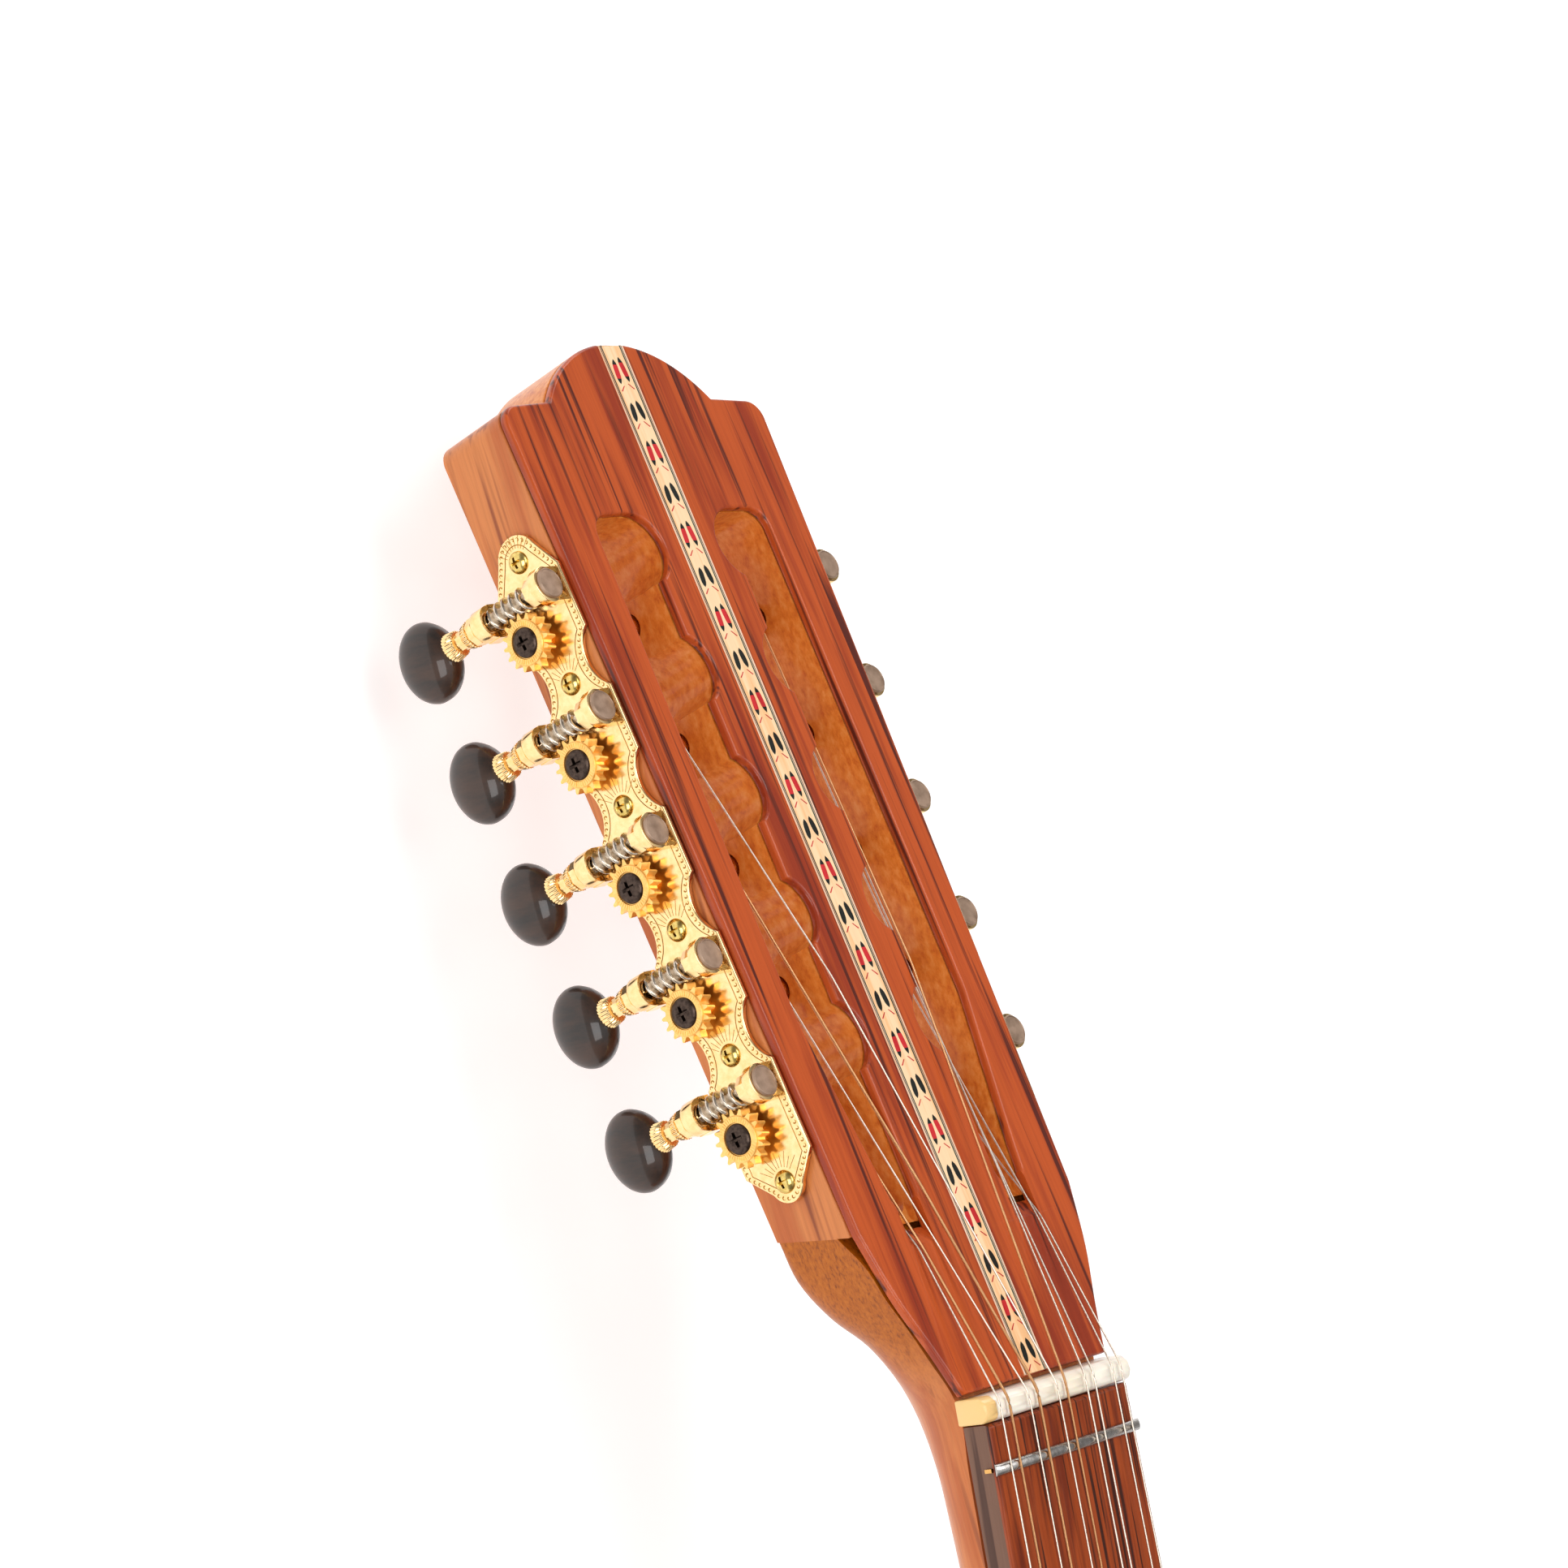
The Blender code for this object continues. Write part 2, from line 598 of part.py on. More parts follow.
def build_gear(side, index):
    """The toothed wheel with its string post in one piece, and the post's screw head on top."""
    lean = (GEAR_HIGH - GEAR_LOW) / 2 * WORM_LEAD / (2 * math.pi * (WORM_OFFSET - GEAR_PITCH_R))
    rings = []
    for out, twist in ((GEAR_LOW, lean / GEAR_PITCH_R), (GEAR_HIGH, -lean / GEAR_PITCH_R)):
        rings.append(facing_out(side, [(x, out, z) for x, z in gear_ring(twist)]))
    name = "%s_%d" % (side_name(side), index + 1)
    gear = add_object("post_gear_" + name, loft(rings), gold(), tuner_frame(side, index))
    post = across(side, 0, 0, POST_R, -POST_DEPTH, GEAR_HIGH + 0.0005, 10)
    combine(gear, helper("post_" + name, post, tuner_frame(side, index)), "UNION")


def worm_mesh(side):
    """Worm thread, shaft, front cap and rear collars turned on one axis, as a single surface."""
    bm = bmesh.new()
    columns = 8
    offsets = (-0.00052, -0.00020, 0.00020, 0.00052)
    radii = (WORM_ROOT_R, WORM_CREST_R, WORM_CREST_R, WORM_ROOT_R)
    rows = len(offsets)
    leads = 9
    grid = {}
    for i in range(columns):
        angle = math.pi + 2 * math.pi * i / columns
        for j in range(leads * rows + rows):
            z = WORM_LEAD * (j // rows - 4 + i / columns) + offsets[j % rows]
            inside = abs(z) < WORM_HALF
            radius = radii[j % rows] if inside else WORM_ROOT_R
            z = max(-WORM_HALF, min(WORM_HALF, z))
            tip = WORM_OFFSET + radius * math.cos(angle)
            out = WORM_OUT + radius * math.sin(angle)
            grid[i, j] = bm.verts.new(facing_out(side, [(tip, out, z)])[0])
    for i in range(columns):
        for j in range(leads * rows - 1):
            last = i == columns - 1
            after = (0, j + rows) if last else (i + 1, j)
            after_up = (0, j + rows + 1) if last else (i + 1, j + 1)
            bm.faces.new((grid[i, j], grid[after], grid[after_up], grid[i, j + 1]))
    front = [(WORM_HALF, WORM_ROOT_R), (0.0099, WORM_ROOT_R), (0.0099, 0.0027), (0.0105, 0.0027)]
    rear = [(-WORM_HALF, WORM_ROOT_R), (-0.0091, WORM_ROOT_R), (-0.0091, 0.0029), (-0.0112, 0.0029),
            (-0.0118, 0.0023), (-0.0128, 0.0015), (-0.0146, 0.0015), (-0.0150, 0.0026), (-0.0168, 0.0026),
            (-0.0168, 0.0014), (-0.0205, 0.0014)]
    for stations in (front, rear):
        rows_made = []
        for z, radius in stations:
            ring = []
            for i in range(columns):
                angle = math.pi + 2 * math.pi * i / columns
                point = (WORM_OFFSET + radius * math.cos(angle), WORM_OUT + radius * math.sin(angle), z)
                ring.append(bm.verts.new(facing_out(side, [point])[0]))
            rows_made.append(ring)
        for low, high in zip(rows_made, rows_made[1:]):
            for i in range(columns):
                j = (i + 1) % columns
                bm.faces.new((low[i], low[j], high[j], high[i]))
        bm.faces.new(rows_made[-1])
    return bm


def button_mesh(side):
    """An oval button: domed on its outward face, with a deep rounded band behind its ridge."""
    rings = []
    for share, out in ((0.30, 0.0040), (0.68, 0.0032), (0.93, 0.0014), (1.0, -0.0004), (0.93, -0.0030),
                       (0.60, -0.0048)):
        ring = circle(0, 0, share, 14)
        rings.append(facing_out(side, [(WORM_OFFSET + x * BUTTON_HALF_WIDE, WORM_OUT + out,
                                        BUTTON_OUT + z * BUTTON_HALF_LONG) for x, z in ring]))
    return loft(rings)


def build_tuner(side, index):
    name = "%s_%d" % (side_name(side), index + 1)
    frame = tuner_frame(side, index)
    worm_axis = frame @ Matrix.Translation((WORM_OUT, side * WORM_OFFSET, 0))
    turner = bpy.data.objects.new("worm_axis_" + name, None)
    turner.matrix_world = worm_axis
    bpy.context.scene.collection.objects.link(turner)
    worm = add_object("worm_" + name, worm_mesh(side), nickel(), frame)
    button = add_object("button_" + name, button_mesh(side), black_plastic(), frame)
    bore = turned((WORM_OUT, side * WORM_OFFSET), [(-0.0209, 0.0018), (-0.012, 0.0018)], 8, math.pi / 8)
    combine(button, helper("button_bore_" + name, bore, frame), "DIFFERENCE")
    for obj in (worm, button):
        obj.parent = turner
        obj.matrix_parent_inverse = worm_axis.inverted()
        obj.matrix_basis = frame
    build_gear(side, index)


# Strings


def string_route(number, saddle_top):
    """The route of one string, from the tailpiece over saddle and nut to its turns on the post."""
    radius = STRING_RADII[number]
    course, second = divmod(number, 2)
    shift = course - (COURSES - 1) / 2
    pair = PAIR_HALF * (2 * second - 1)
    nut_x = shift * COURSE_STEP_NUT + pair
    saddle_x = shift * COURSE_STEP_SADDLE + pair
    lift = radius + GAP
    route = [Vector((saddle_x * 0.92, -0.1412, BODY_DEPTH + 0.0048)),
             Vector((saddle_x, SADDLE_Y, saddle_top + lift)),
             Vector((nut_x, NUT_FRONT_Y + 0.0015, BOARD_TOP + NUT_TOP + lift)),
             Vector((nut_x, NUT_BACK_Y - 0.0014, BOARD_TOP + NUT_TOP + lift - 0.0001))]
    side = -1 if number < COURSES else 1
    index = TUNERS - 1 - number if side < 0 else number - COURSES
    wind_x = (0.0225, 0.0225, 0.0220, 0.0210, 0.0195)[index]
    over = FACE + lift + 0.0001
    bend = ((0.0123, -0.078, over), (0.0121, -0.120, over + 0.0003), None,
            (0.0183, RAMP_START, over), (0.0194, RAMP_START, over))[index]
    if bend:
        route.append(HEAD @ Vector((side * bend[0], bend[1], bend[2])))
    frame = tuner_frame(side, index)
    tip = FIRST_GEAR - TUNER_STEP * index
    start_out = wind_x - PLATE_LINE - SIDE_SLOPE * tip
    turn_r = POST_R + radius + 0.00045
    steps = 10
    for k in range(steps + 1):
        angle = math.radians(90 - 360 * k / 9)
        out = start_out + (2 * radius + 0.0004) * k / 9
        point = (turn_r * math.cos(angle), out, turn_r * math.sin(angle))
        route.append(frame @ Vector(facing_out(side, [point])[0]))
    return route


def build_strings(saddle_top):
    for number, radius in enumerate(STRING_RADII):
        name = "string_%d" % (number + 1)
        curve = bpy.data.curves.new(name, "CURVE")
        curve.dimensions = "3D"
        curve.bevel_depth = radius
        curve.bevel_resolution = 1
        curve.use_fill_caps = True
        spline = curve.splines.new("POLY")
        route = string_route(number, saddle_top)
        spline.points.add(len(route) - 1)
        for point, place in zip(spline.points, route):
            point.co = (*place, 1)
        wound = number in (1, 3, 5)
        curve.materials.append(string_bronze() if wound else string_steel())
        bpy.context.scene.collection.objects.link(bpy.data.objects.new(name, curve))


def build():
    clear_scene()
    build_body()
    build_tail()
    saddle_top = build_bridge()
    slots, ramps = slot_cutters()
    build_neck(slots, ramps)
    build_head_front(slots, ramps)
    build_fretboard()
    for side in (-1, 1):
        build_plate(side)
        for index in range(TUNERS):
            build_tuner(side, index)
    build_strings(saddle_top)


build()
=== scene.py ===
import json
import math

import bmesh
import bpy
from mathutils import Matrix, Vector


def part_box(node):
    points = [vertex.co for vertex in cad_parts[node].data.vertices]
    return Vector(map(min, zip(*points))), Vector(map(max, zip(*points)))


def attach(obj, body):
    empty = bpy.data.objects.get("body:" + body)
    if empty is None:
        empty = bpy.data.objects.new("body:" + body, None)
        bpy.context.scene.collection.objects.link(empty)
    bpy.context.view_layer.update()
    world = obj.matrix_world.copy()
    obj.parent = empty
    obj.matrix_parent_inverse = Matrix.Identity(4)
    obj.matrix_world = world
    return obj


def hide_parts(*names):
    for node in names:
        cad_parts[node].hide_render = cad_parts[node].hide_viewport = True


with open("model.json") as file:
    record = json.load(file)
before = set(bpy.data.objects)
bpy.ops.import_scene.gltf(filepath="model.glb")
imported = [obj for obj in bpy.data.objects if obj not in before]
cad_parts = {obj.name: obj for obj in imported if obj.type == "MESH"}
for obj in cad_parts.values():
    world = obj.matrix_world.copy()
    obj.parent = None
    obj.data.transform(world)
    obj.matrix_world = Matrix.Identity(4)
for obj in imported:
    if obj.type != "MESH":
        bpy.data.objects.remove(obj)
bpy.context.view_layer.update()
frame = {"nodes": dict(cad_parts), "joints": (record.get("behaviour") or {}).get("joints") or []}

# Camera, floor and light
# The instrument lies on its back on a pale floor. The camera stands to the left of the tilted headstock,
# in front of its face, and soft light comes from a bright room and three large panels.

joints = {joint["name"]: joint for joint in frame["joints"]}


def joint_place(name):
    return Vector(joints[name]["pos_m"])


HEAD_FRONT = Vector(joints["worm_left_1_spin"]["axis"]).normalized()
HEAD_RIGHT = Vector((1, 0, 0))
HEAD_TIP = HEAD_FRONT.cross(HEAD_RIGHT)
FIRST_POST = -0.0014
head_middle = (joint_place("post_left_1_spin") + joint_place("post_right_1_spin")) / 2
HEAD = Matrix.Translation(head_middle - FIRST_POST * HEAD_TIP) @ Matrix(
    (HEAD_RIGHT, HEAD_TIP, HEAD_FRONT)).transposed().to_4x4()

CAMERA_PLACE = Vector((-0.7003, -0.2224, 0.5328))
CAMERA_LOOK = Vector((0.78462, 0.20557, -0.58490))
CAMERA_UP = Vector((0.07691, 0.90386, 0.42086))
camera_data = bpy.data.cameras.new("camera")
camera_data.sensor_width = 36
camera_data.lens = 108.84
camera = bpy.data.objects.new("camera", camera_data)
camera_right = CAMERA_LOOK.cross(CAMERA_UP).normalized()
camera_up = camera_right.cross(CAMERA_LOOK).normalized()
camera_turn = Matrix((camera_right, camera_up, -CAMERA_LOOK.normalized())).transposed().to_4x4()
camera.matrix_world = HEAD @ Matrix.Translation(CAMERA_PLACE) @ camera_turn
bpy.context.scene.collection.objects.link(camera)
bpy.context.scene.camera = camera
bpy.context.scene.view_settings.view_transform = "Standard"


def paint(red, green, blue):
    """A colour given as 0 to 255 values, as the linear colour that a material wants."""
    shares = [channel / 255 for channel in (red, green, blue)]
    return tuple(s / 12.92 if s < 0.04045 else ((s + 0.055) / 1.055) ** 2.4 for s in shares) + (1.0,)


def add_node(tree, kind, inputs=(), **settings):
    """Adds a node to a tree. An input is set to a plain value, or linked to another node's output."""
    made = tree.nodes.new(kind)
    for key, value in settings.items():
        setattr(made, key, value)
    for key, value in dict(inputs).items():
        if isinstance(value, bpy.types.NodeSocket):
            tree.links.new(value, made.inputs[key])
        else:
            made.inputs[key].default_value = value
    return made


def new_finish(name, **even):
    """A material and its shader, with the properties that are even all over set on the shader."""
    made = bpy.data.materials.new(name)
    made.use_nodes = True
    shader = made.node_tree.nodes["Principled BSDF"]
    for key, value in even.items():
        shader.inputs[key.replace("_", " ")].default_value = value
    return made, made.node_tree, shader


def colour_ramp(tree, factor, *stops):
    """Colours at given places along a 0 to 1 factor."""
    ramp = add_node(tree, "ShaderNodeValToRGB", {"Fac": factor})
    elements = ramp.color_ramp.elements
    while len(elements) < len(stops):
        elements.new(1.0)
    for element, (place, colour) in zip(elements, stops):
        element.position = place
        element.color = colour
    return ramp.outputs["Color"]


def object_noise(tree, stretch, scale, detail=3.0, rough=0.55, turn=0.0):
    """Noise fixed to the piece, stretched along its grain."""
    where = add_node(tree, "ShaderNodeTexCoord")
    lengths = [1 / share for share in stretch]
    along = add_node(tree, "ShaderNodeMapping", {"Vector": where.outputs["Object"], "Rotation": (turn, 0, 0),
                                                 "Scale": lengths}, vector_type="TEXTURE")
    noise = add_node(tree, "ShaderNodeTexNoise", {"Vector": along.outputs["Vector"], "Scale": scale,
                                                  "Detail": detail, "Roughness": rough})
    return noise.outputs["Fac"]


def add_bump(tree, shader, height, strength, distance):
    bump = add_node(tree, "ShaderNodeBump", {"Height": height, "Strength": strength, "Distance": distance})
    tree.links.new(bump.outputs["Normal"], shader.inputs["Normal"])


def floor_paint():
    made, tree, shader = new_finish("floor_paint", Roughness=0.9, Emission_Strength=0.6)
    shader.inputs["Emission Color"].default_value = (1, 1, 1, 1)
    mottle = object_noise(tree, (1, 1, 1), 3.0)
    shade = colour_ramp(tree, mottle, (0.3, (0.6, 0.6, 0.6, 1)), (0.7, (0.64, 0.64, 0.64, 1)))
    tree.links.new(shade, shader.inputs["Base Color"])
    return made


floor_mesh = bpy.data.meshes.new("floor")
floor_mesh.from_pydata([(-6, -6, 0), (6, -6, 0), (6, 6, 0), (-6, 6, 0)], [], [(0, 1, 2, 3)])
floor_mesh.transform(Matrix.Translation((0, 0, -0.0004)))
floor = bpy.data.objects.new("floor", floor_mesh)
floor_mesh.materials.append(floor_paint())
bpy.context.scene.collection.objects.link(floor)

world = bpy.data.worlds.new("room")
world.use_nodes = True
bpy.context.scene.world = world
room = world.node_tree
direction = add_node(room, "ShaderNodeTexCoord")
height = add_node(room, "ShaderNodeSeparateXYZ", {"Vector": direction.outputs["Generated"]})
room_glow = colour_ramp(room, height.outputs["Z"], (0.0, (0.70, 0.68, 0.66, 1)),
                        (0.2, (0.38, 0.37, 0.36, 1)), (0.6, (0.30, 0.29, 0.29, 1)),
                        (0.9, (1.0, 1.0, 1.0, 1)))
room.links.new(room_glow, room.nodes["Background"].inputs["Color"])
room.nodes["Background"].inputs["Strength"].default_value = 0.8


def light_panel(name, place, target, size, watts):
    panel = bpy.data.lights.new(name, "AREA")
    panel.shape = "SQUARE"
    panel.size = size
    panel.energy = watts
    obj = bpy.data.objects.new(name, panel)
    away = (Vector(place) - Vector(target)).normalized()
    obj.matrix_world = Matrix.Translation(place) @ away.to_track_quat("Z", "Y").to_matrix().to_4x4()
    bpy.context.scene.collection.objects.link(obj)


lit_place = HEAD.translation + Vector((0, -0.1, 0))
light_panel("left_panel", lit_place + Vector((-1.5, -0.2, 0.9)), lit_place, 1.0, 13)
light_panel("top_panel", lit_place + Vector((0.1, 0.5, 1.9)), lit_place, 1.3, 17)
light_panel("right_panel", lit_place + Vector((0.9, 1.6, 0.6)), lit_place, 0.8, 6)

# Back of the body
# A flat plate of reddish hardwood, cut to the pear outline and glued to the sides. One spruce bar inside
# keeps it from sinking. Its edge is rounded over and lacquered.

BODY_LOW, BODY_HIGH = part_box("sides")
BODY_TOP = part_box("soundboard")[1].z
BACK_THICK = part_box("back")[1].z
BODY_HALF_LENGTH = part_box("back")[1].y
BODY_HALF_WIDTH = 0.167
BODY_PEAR = 0.30
OUTLINE_STEPS = 240
EDGE_ROUNDING = 0.0007


def body_outline(inset, steps=OUTLINE_STEPS):
    """The pear-shaped outline, moved in by inset along its normals."""
    points = []
    for k in range(steps):
        t = 2 * math.pi * k / steps
        x = BODY_HALF_WIDTH * math.sin(t) * (1 - BODY_PEAR * math.cos(t))
        y = BODY_HALF_LENGTH * math.cos(t)
        dx = BODY_HALF_WIDTH * (math.cos(t) - BODY_PEAR * math.cos(2 * t))
        dy = -BODY_HALF_LENGTH * math.sin(t)
        size = math.hypot(dx, dy)
        points.append((x + inset * dy / size, y - inset * dx / size))
    return points


def tidy_mesh(mesh, smooth_angle=40):
    """Welds a closed mesh, turns its faces out and shades its round parts smooth."""
    bm = bmesh.new()
    bm.from_mesh(mesh)
    bmesh.ops.remove_doubles(bm, verts=bm.verts, dist=1e-6)
    bmesh.ops.dissolve_degenerate(bm, edges=bm.edges, dist=1e-7)
    bmesh.ops.recalc_face_normals(bm, faces=bm.faces)
    bm.to_mesh(mesh)
    bm.free()
    mesh.shade_smooth()
    mesh.set_sharp_from_angle(angle=math.radians(smooth_angle))
    return mesh


def add_piece(name, mesh, look):
    """A new object at the origin that holds a mesh already in its place."""
    obj = bpy.data.objects.new(name, mesh)
    mesh.name = name
    mesh.materials.clear()
    mesh.materials.append(look)
    bpy.context.scene.collection.objects.link(obj)
    return obj


def evaluated_mesh(obj):
    """The plain mesh of an object with its modifiers or its curve settings applied."""
    bpy.context.view_layer.update()
    graph = bpy.context.evaluated_depsgraph_get()
    return bpy.data.meshes.new_from_object(obj.evaluated_get(graph))


def slab(outlines, low, high, rounding=0.0, place=Matrix.Identity(4), rounds=2):
    """A flat board cut to its outline, with any holes, its edges rounded over by rounding."""
    to_mm = 1000
    curve = bpy.data.curves.new("slab", "CURVE")
    curve.dimensions = "2D"
    curve.fill_mode = "BOTH"
    curve.extrude = ((high - low) / 2 - rounding) * to_mm
    curve.bevel_depth = rounding * to_mm
    curve.bevel_resolution = rounds
    curve.offset = -rounding * to_mm
    for outline in outlines:
        spline = curve.splines.new("POLY")
        spline.points.add(len(outline) - 1)
        spline.use_cyclic_u = True
        for point, (x, y) in zip(spline.points, outline):
            point.co = (x * to_mm, y * to_mm, 0, 1)
    holder = bpy.data.objects.new("slab", curve)
    bpy.context.scene.collection.objects.link(holder)
    mesh = evaluated_mesh(holder)
    bpy.data.objects.remove(holder)
    mesh.transform(place @ Matrix.Translation((0, 0, (low + high) / 2)) @ Matrix.Scale(1 / to_mm, 4))
    return tidy_mesh(mesh)


def level_shading(obj):
    """Keeps broad flat faces looking flat beside their rounded edges."""
    modifier = obj.modifiers.new("level", "WEIGHTED_NORMAL")
    modifier.keep_sharp = True
    modifier.weight = 100
    flat = evaluated_mesh(obj)
    obj.modifiers.clear()
    obj.data = flat


def hand_over(obj, body, slot, *nodes):
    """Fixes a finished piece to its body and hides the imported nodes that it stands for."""
    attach(obj, body)
    if nodes:
        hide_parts(*nodes)


def wood(name, pale, dark, vein, gloss, turn=0.0, streaks=160, vein_share=0.58, pores=0.5):
    """Straight-grained wood: pale and dark bands, thin dark veins, fine pores, and lacquer on top."""
    made, tree, shader = new_finish(name, Coat_Weight=gloss, Coat_Roughness=0.08, Specular_IOR_Level=0.2)
    bands = object_noise(tree, (1, 0.05, 1), streaks, 4.0, 0.6, turn)
    grain = colour_ramp(tree, bands, (0.38, dark), (0.52, pale), (0.7, pale))
    lines = object_noise(tree, (1, 0.018, 1), streaks * 3, 2.0, 0.5, turn)
    line_share = colour_ramp(tree, lines, (vein_share, (0, 0, 0, 1)), (vein_share + 0.1, (1, 1, 1, 1)))
    veined = add_node(tree, "ShaderNodeMix", {0: line_share, 6: grain, 7: vein}, data_type="RGBA")
    fibres = object_noise(tree, (1, 0.03, 1), 1500, 2.0, 0.6, turn)
    fibre_tone = colour_ramp(tree, fibres, (0.3, (0.74, 0.70, 0.68, 1)), (0.6, (1, 1, 1, 1)))
    toned = add_node(tree, "ShaderNodeMix", {0: pores, 6: veined.outputs[2], 7: fibre_tone},
                     data_type="RGBA", blend_type="MULTIPLY")
    tree.links.new(toned.outputs[2], shader.inputs["Base Color"])
    sheen = add_node(tree, "ShaderNodeMapRange", {"Value": fibres, "To Min": 0.28, "To Max": 0.46})
    tree.links.new(sheen.outputs["Result"], shader.inputs["Roughness"])
    add_bump(tree, shader, fibres, 0.12, 0.0001)
    return made


body_wood = wood("body_hardwood", paint(176, 98, 58), paint(128, 62, 36), paint(92, 44, 30), 0.5)
back = add_piece("back", slab([body_outline(0)], 0, BACK_THICK, EDGE_ROUNDING), body_wood)
level_shading(back)
hand_over(back, "root", "body_wood", "back")

# Inside of the body
# Solid blocks at the neck and the tail hold the sides together, and spruce bars run across under the
# soundboard and over the back. They are left as sawn, without lacquer.

block_wood = wood("block_wood", paint(196, 142, 92), paint(164, 106, 64), paint(130, 84, 52), 0.0)
brace_wood = wood("brace_spruce", paint(222, 186, 132), paint(198, 154, 100), paint(176, 130, 84), 0.0)


def keep_node(name, look):
    """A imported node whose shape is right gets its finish."""
    node = frame["nodes"][name]
    node.data.materials.clear()
    node.data.materials.append(look)


for name in ("neck_block", "tail_block"):
    keep_node(name, block_wood)
for name in ("top_brace_upper", "top_brace_lower", "back_brace"):
    keep_node(name, brace_wood)

# Sides of the body
# Thin strips of the same hardwood as the back, bent to the outline and glued to the two blocks. A hole at
# the tail takes the end pin.

SIDE_THICK = 0.003
PIN_HOLE_R = 0.0043
PIN_Z = 0.45 * BODY_TOP


def arc(cx, cy, radius, start, end, steps):
    angles = [math.radians(start + (end - start) * k / steps) for k in range(steps + 1)]
    return [(cx + radius * math.cos(a), cy + radius * math.sin(a)) for a in angles]


def ring_points(radius, count, cx=0.0, cy=0.0):
    return arc(cx, cy, radius, 0, 360, count)[:-1]


def carved(obj, *cutters, operation="DIFFERENCE"):
    """Cuts the given meshes out of a piece, or joins them to it, and leaves a plain mesh."""
    helpers = []
    for mesh in cutters:
        helper = bpy.data.objects.new("cutter", mesh)
        bpy.context.scene.collection.objects.link(helper)
        modifier = obj.modifiers.new("cut", "BOOLEAN")
        modifier.operation = operation
        modifier.solver = "EXACT"
        modifier.object = helper
        helpers.append(helper)
    look = obj.data.materials[0]
    mesh = tidy_mesh(evaluated_mesh(obj))
    obj.modifiers.clear()
    mesh.materials.clear()
    mesh.materials.append(look)
    obj.data = mesh
    for polygon in mesh.polygons:
        polygon.material_index = 0
    for helper in helpers:
        bpy.data.objects.remove(helper)


def turned_round(stations, count=32, place=Matrix.Identity(4)):
    """A round piece turned about z, from (z, radius) stations, flat at both ends."""
    rings = []
    for z, radius in stations:
        rings.append([Vector((x, y, z)) for x, y in ring_points(radius, count)])
    return loft(rings, place)


def loft(rings, place=Matrix.Identity(4), smooth_angle=40):
    """A closed skin through rings with equal point counts, with a flat cap at each end."""
    bm = bmesh.new()
    rows = [[bm.verts.new(point) for point in ring] for ring in rings]
    count = len(rows[0])
    for low, high in zip(rows, rows[1:]):
        for i in range(count):
            j = (i + 1) % count
            bm.faces.new((low[i], low[j], high[j], high[i]))
    bm.faces.new(rows[0])
    bm.faces.new(rows[-1])
    mesh = bpy.data.meshes.new("loft")
    bm.transform(place)
    bm.to_mesh(mesh)
    bm.free()
    return tidy_mesh(mesh, smooth_angle)


PIN_TURN = Matrix.Translation((0, -BODY_HALF_LENGTH, PIN_Z)) @ Matrix.Rotation(math.radians(90), 4, "X")
sides = add_piece("sides", slab([body_outline(0), body_outline(SIDE_THICK)], BODY_LOW.z, BODY_HIGH.z),
                  body_wood)
carved(sides, turned_round([(-0.02, PIN_HOLE_R), (0.02, PIN_HOLE_R)], 24, PIN_TURN))
level_shading(sides)
hand_over(sides, "root", "body_wood", "sides")

# Soundboard
# A quartersawn spruce plate under a warm lacquer, with dark wooden binding let in round its edge. Rings of
# dark and pale wood with a row of small tiles are let in round the open sound hole.

BOARD_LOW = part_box("soundboard")[0].z
BINDING_WIDE = 0.0022
HOLE_Y = 0.072
HOLE_R = 0.042
TOP_SKIN = 0.00012


def spruce_top():
    made, tree, shader = new_finish("soundboard_spruce", Coat_Weight=0.6, Coat_Roughness=0.1)
    where = add_node(tree, "ShaderNodeTexCoord")
    rings = add_node(tree, "ShaderNodeTexWave", {"Vector": where.outputs["Object"], "Scale": 110,
                                                 "Distortion": 0.7, "Detail": 2.0, "Detail Scale": 0.2},
                     wave_type="BANDS", bands_direction="X", wave_profile="SAW")
    tone = colour_ramp(tree, rings.outputs["Fac"], (0.1, paint(224, 168, 100)), (0.8, paint(216, 154, 86)),
                       (1.0, paint(190, 122, 62)))
    silk = object_noise(tree, (0.3, 1, 1), 60, 3.0)
    silk_tone = colour_ramp(tree, silk, (0.35, (0.88, 0.86, 0.84, 1)), (0.65, (1, 1, 1, 1)))
    mixed = add_node(tree, "ShaderNodeMix", {0: 0.7, 6: tone, 7: silk_tone}, data_type="RGBA",
                     blend_type="MULTIPLY")
    tree.links.new(mixed.outputs[2], shader.inputs["Base Color"])
    tree.links.new(add_node(tree, "ShaderNodeMapRange", {"Value": silk, "To Min": 0.3, "To Max": 0.45}
                            ).outputs["Result"], shader.inputs["Roughness"])
    add_bump(tree, shader, rings.outputs["Fac"], 0.05, 0.0001)
    return made


hole_outline = ring_points(HOLE_R, 96, 0, HOLE_Y)
soundboard = add_piece("soundboard", slab([body_outline(BINDING_WIDE), hole_outline], BOARD_LOW, BODY_TOP),
                       spruce_top())
hand_over(soundboard, "root", "soundboard_wood", "soundboard")

dark_binding = wood("binding_rosewood", paint(96, 40, 26), paint(60, 24, 18), paint(36, 16, 12), 0.6)
pale_line = wood("maple_line", paint(240, 222, 182), paint(226, 200, 152), paint(200, 170, 120), 0.5)
binding = add_piece("soundboard_binding",
                    slab([body_outline(0), body_outline(BINDING_WIDE - 0.00002)], BOARD_LOW, BODY_TOP,
                         EDGE_ROUNDING), dark_binding)
hand_over(binding, "root", "dark_wood")


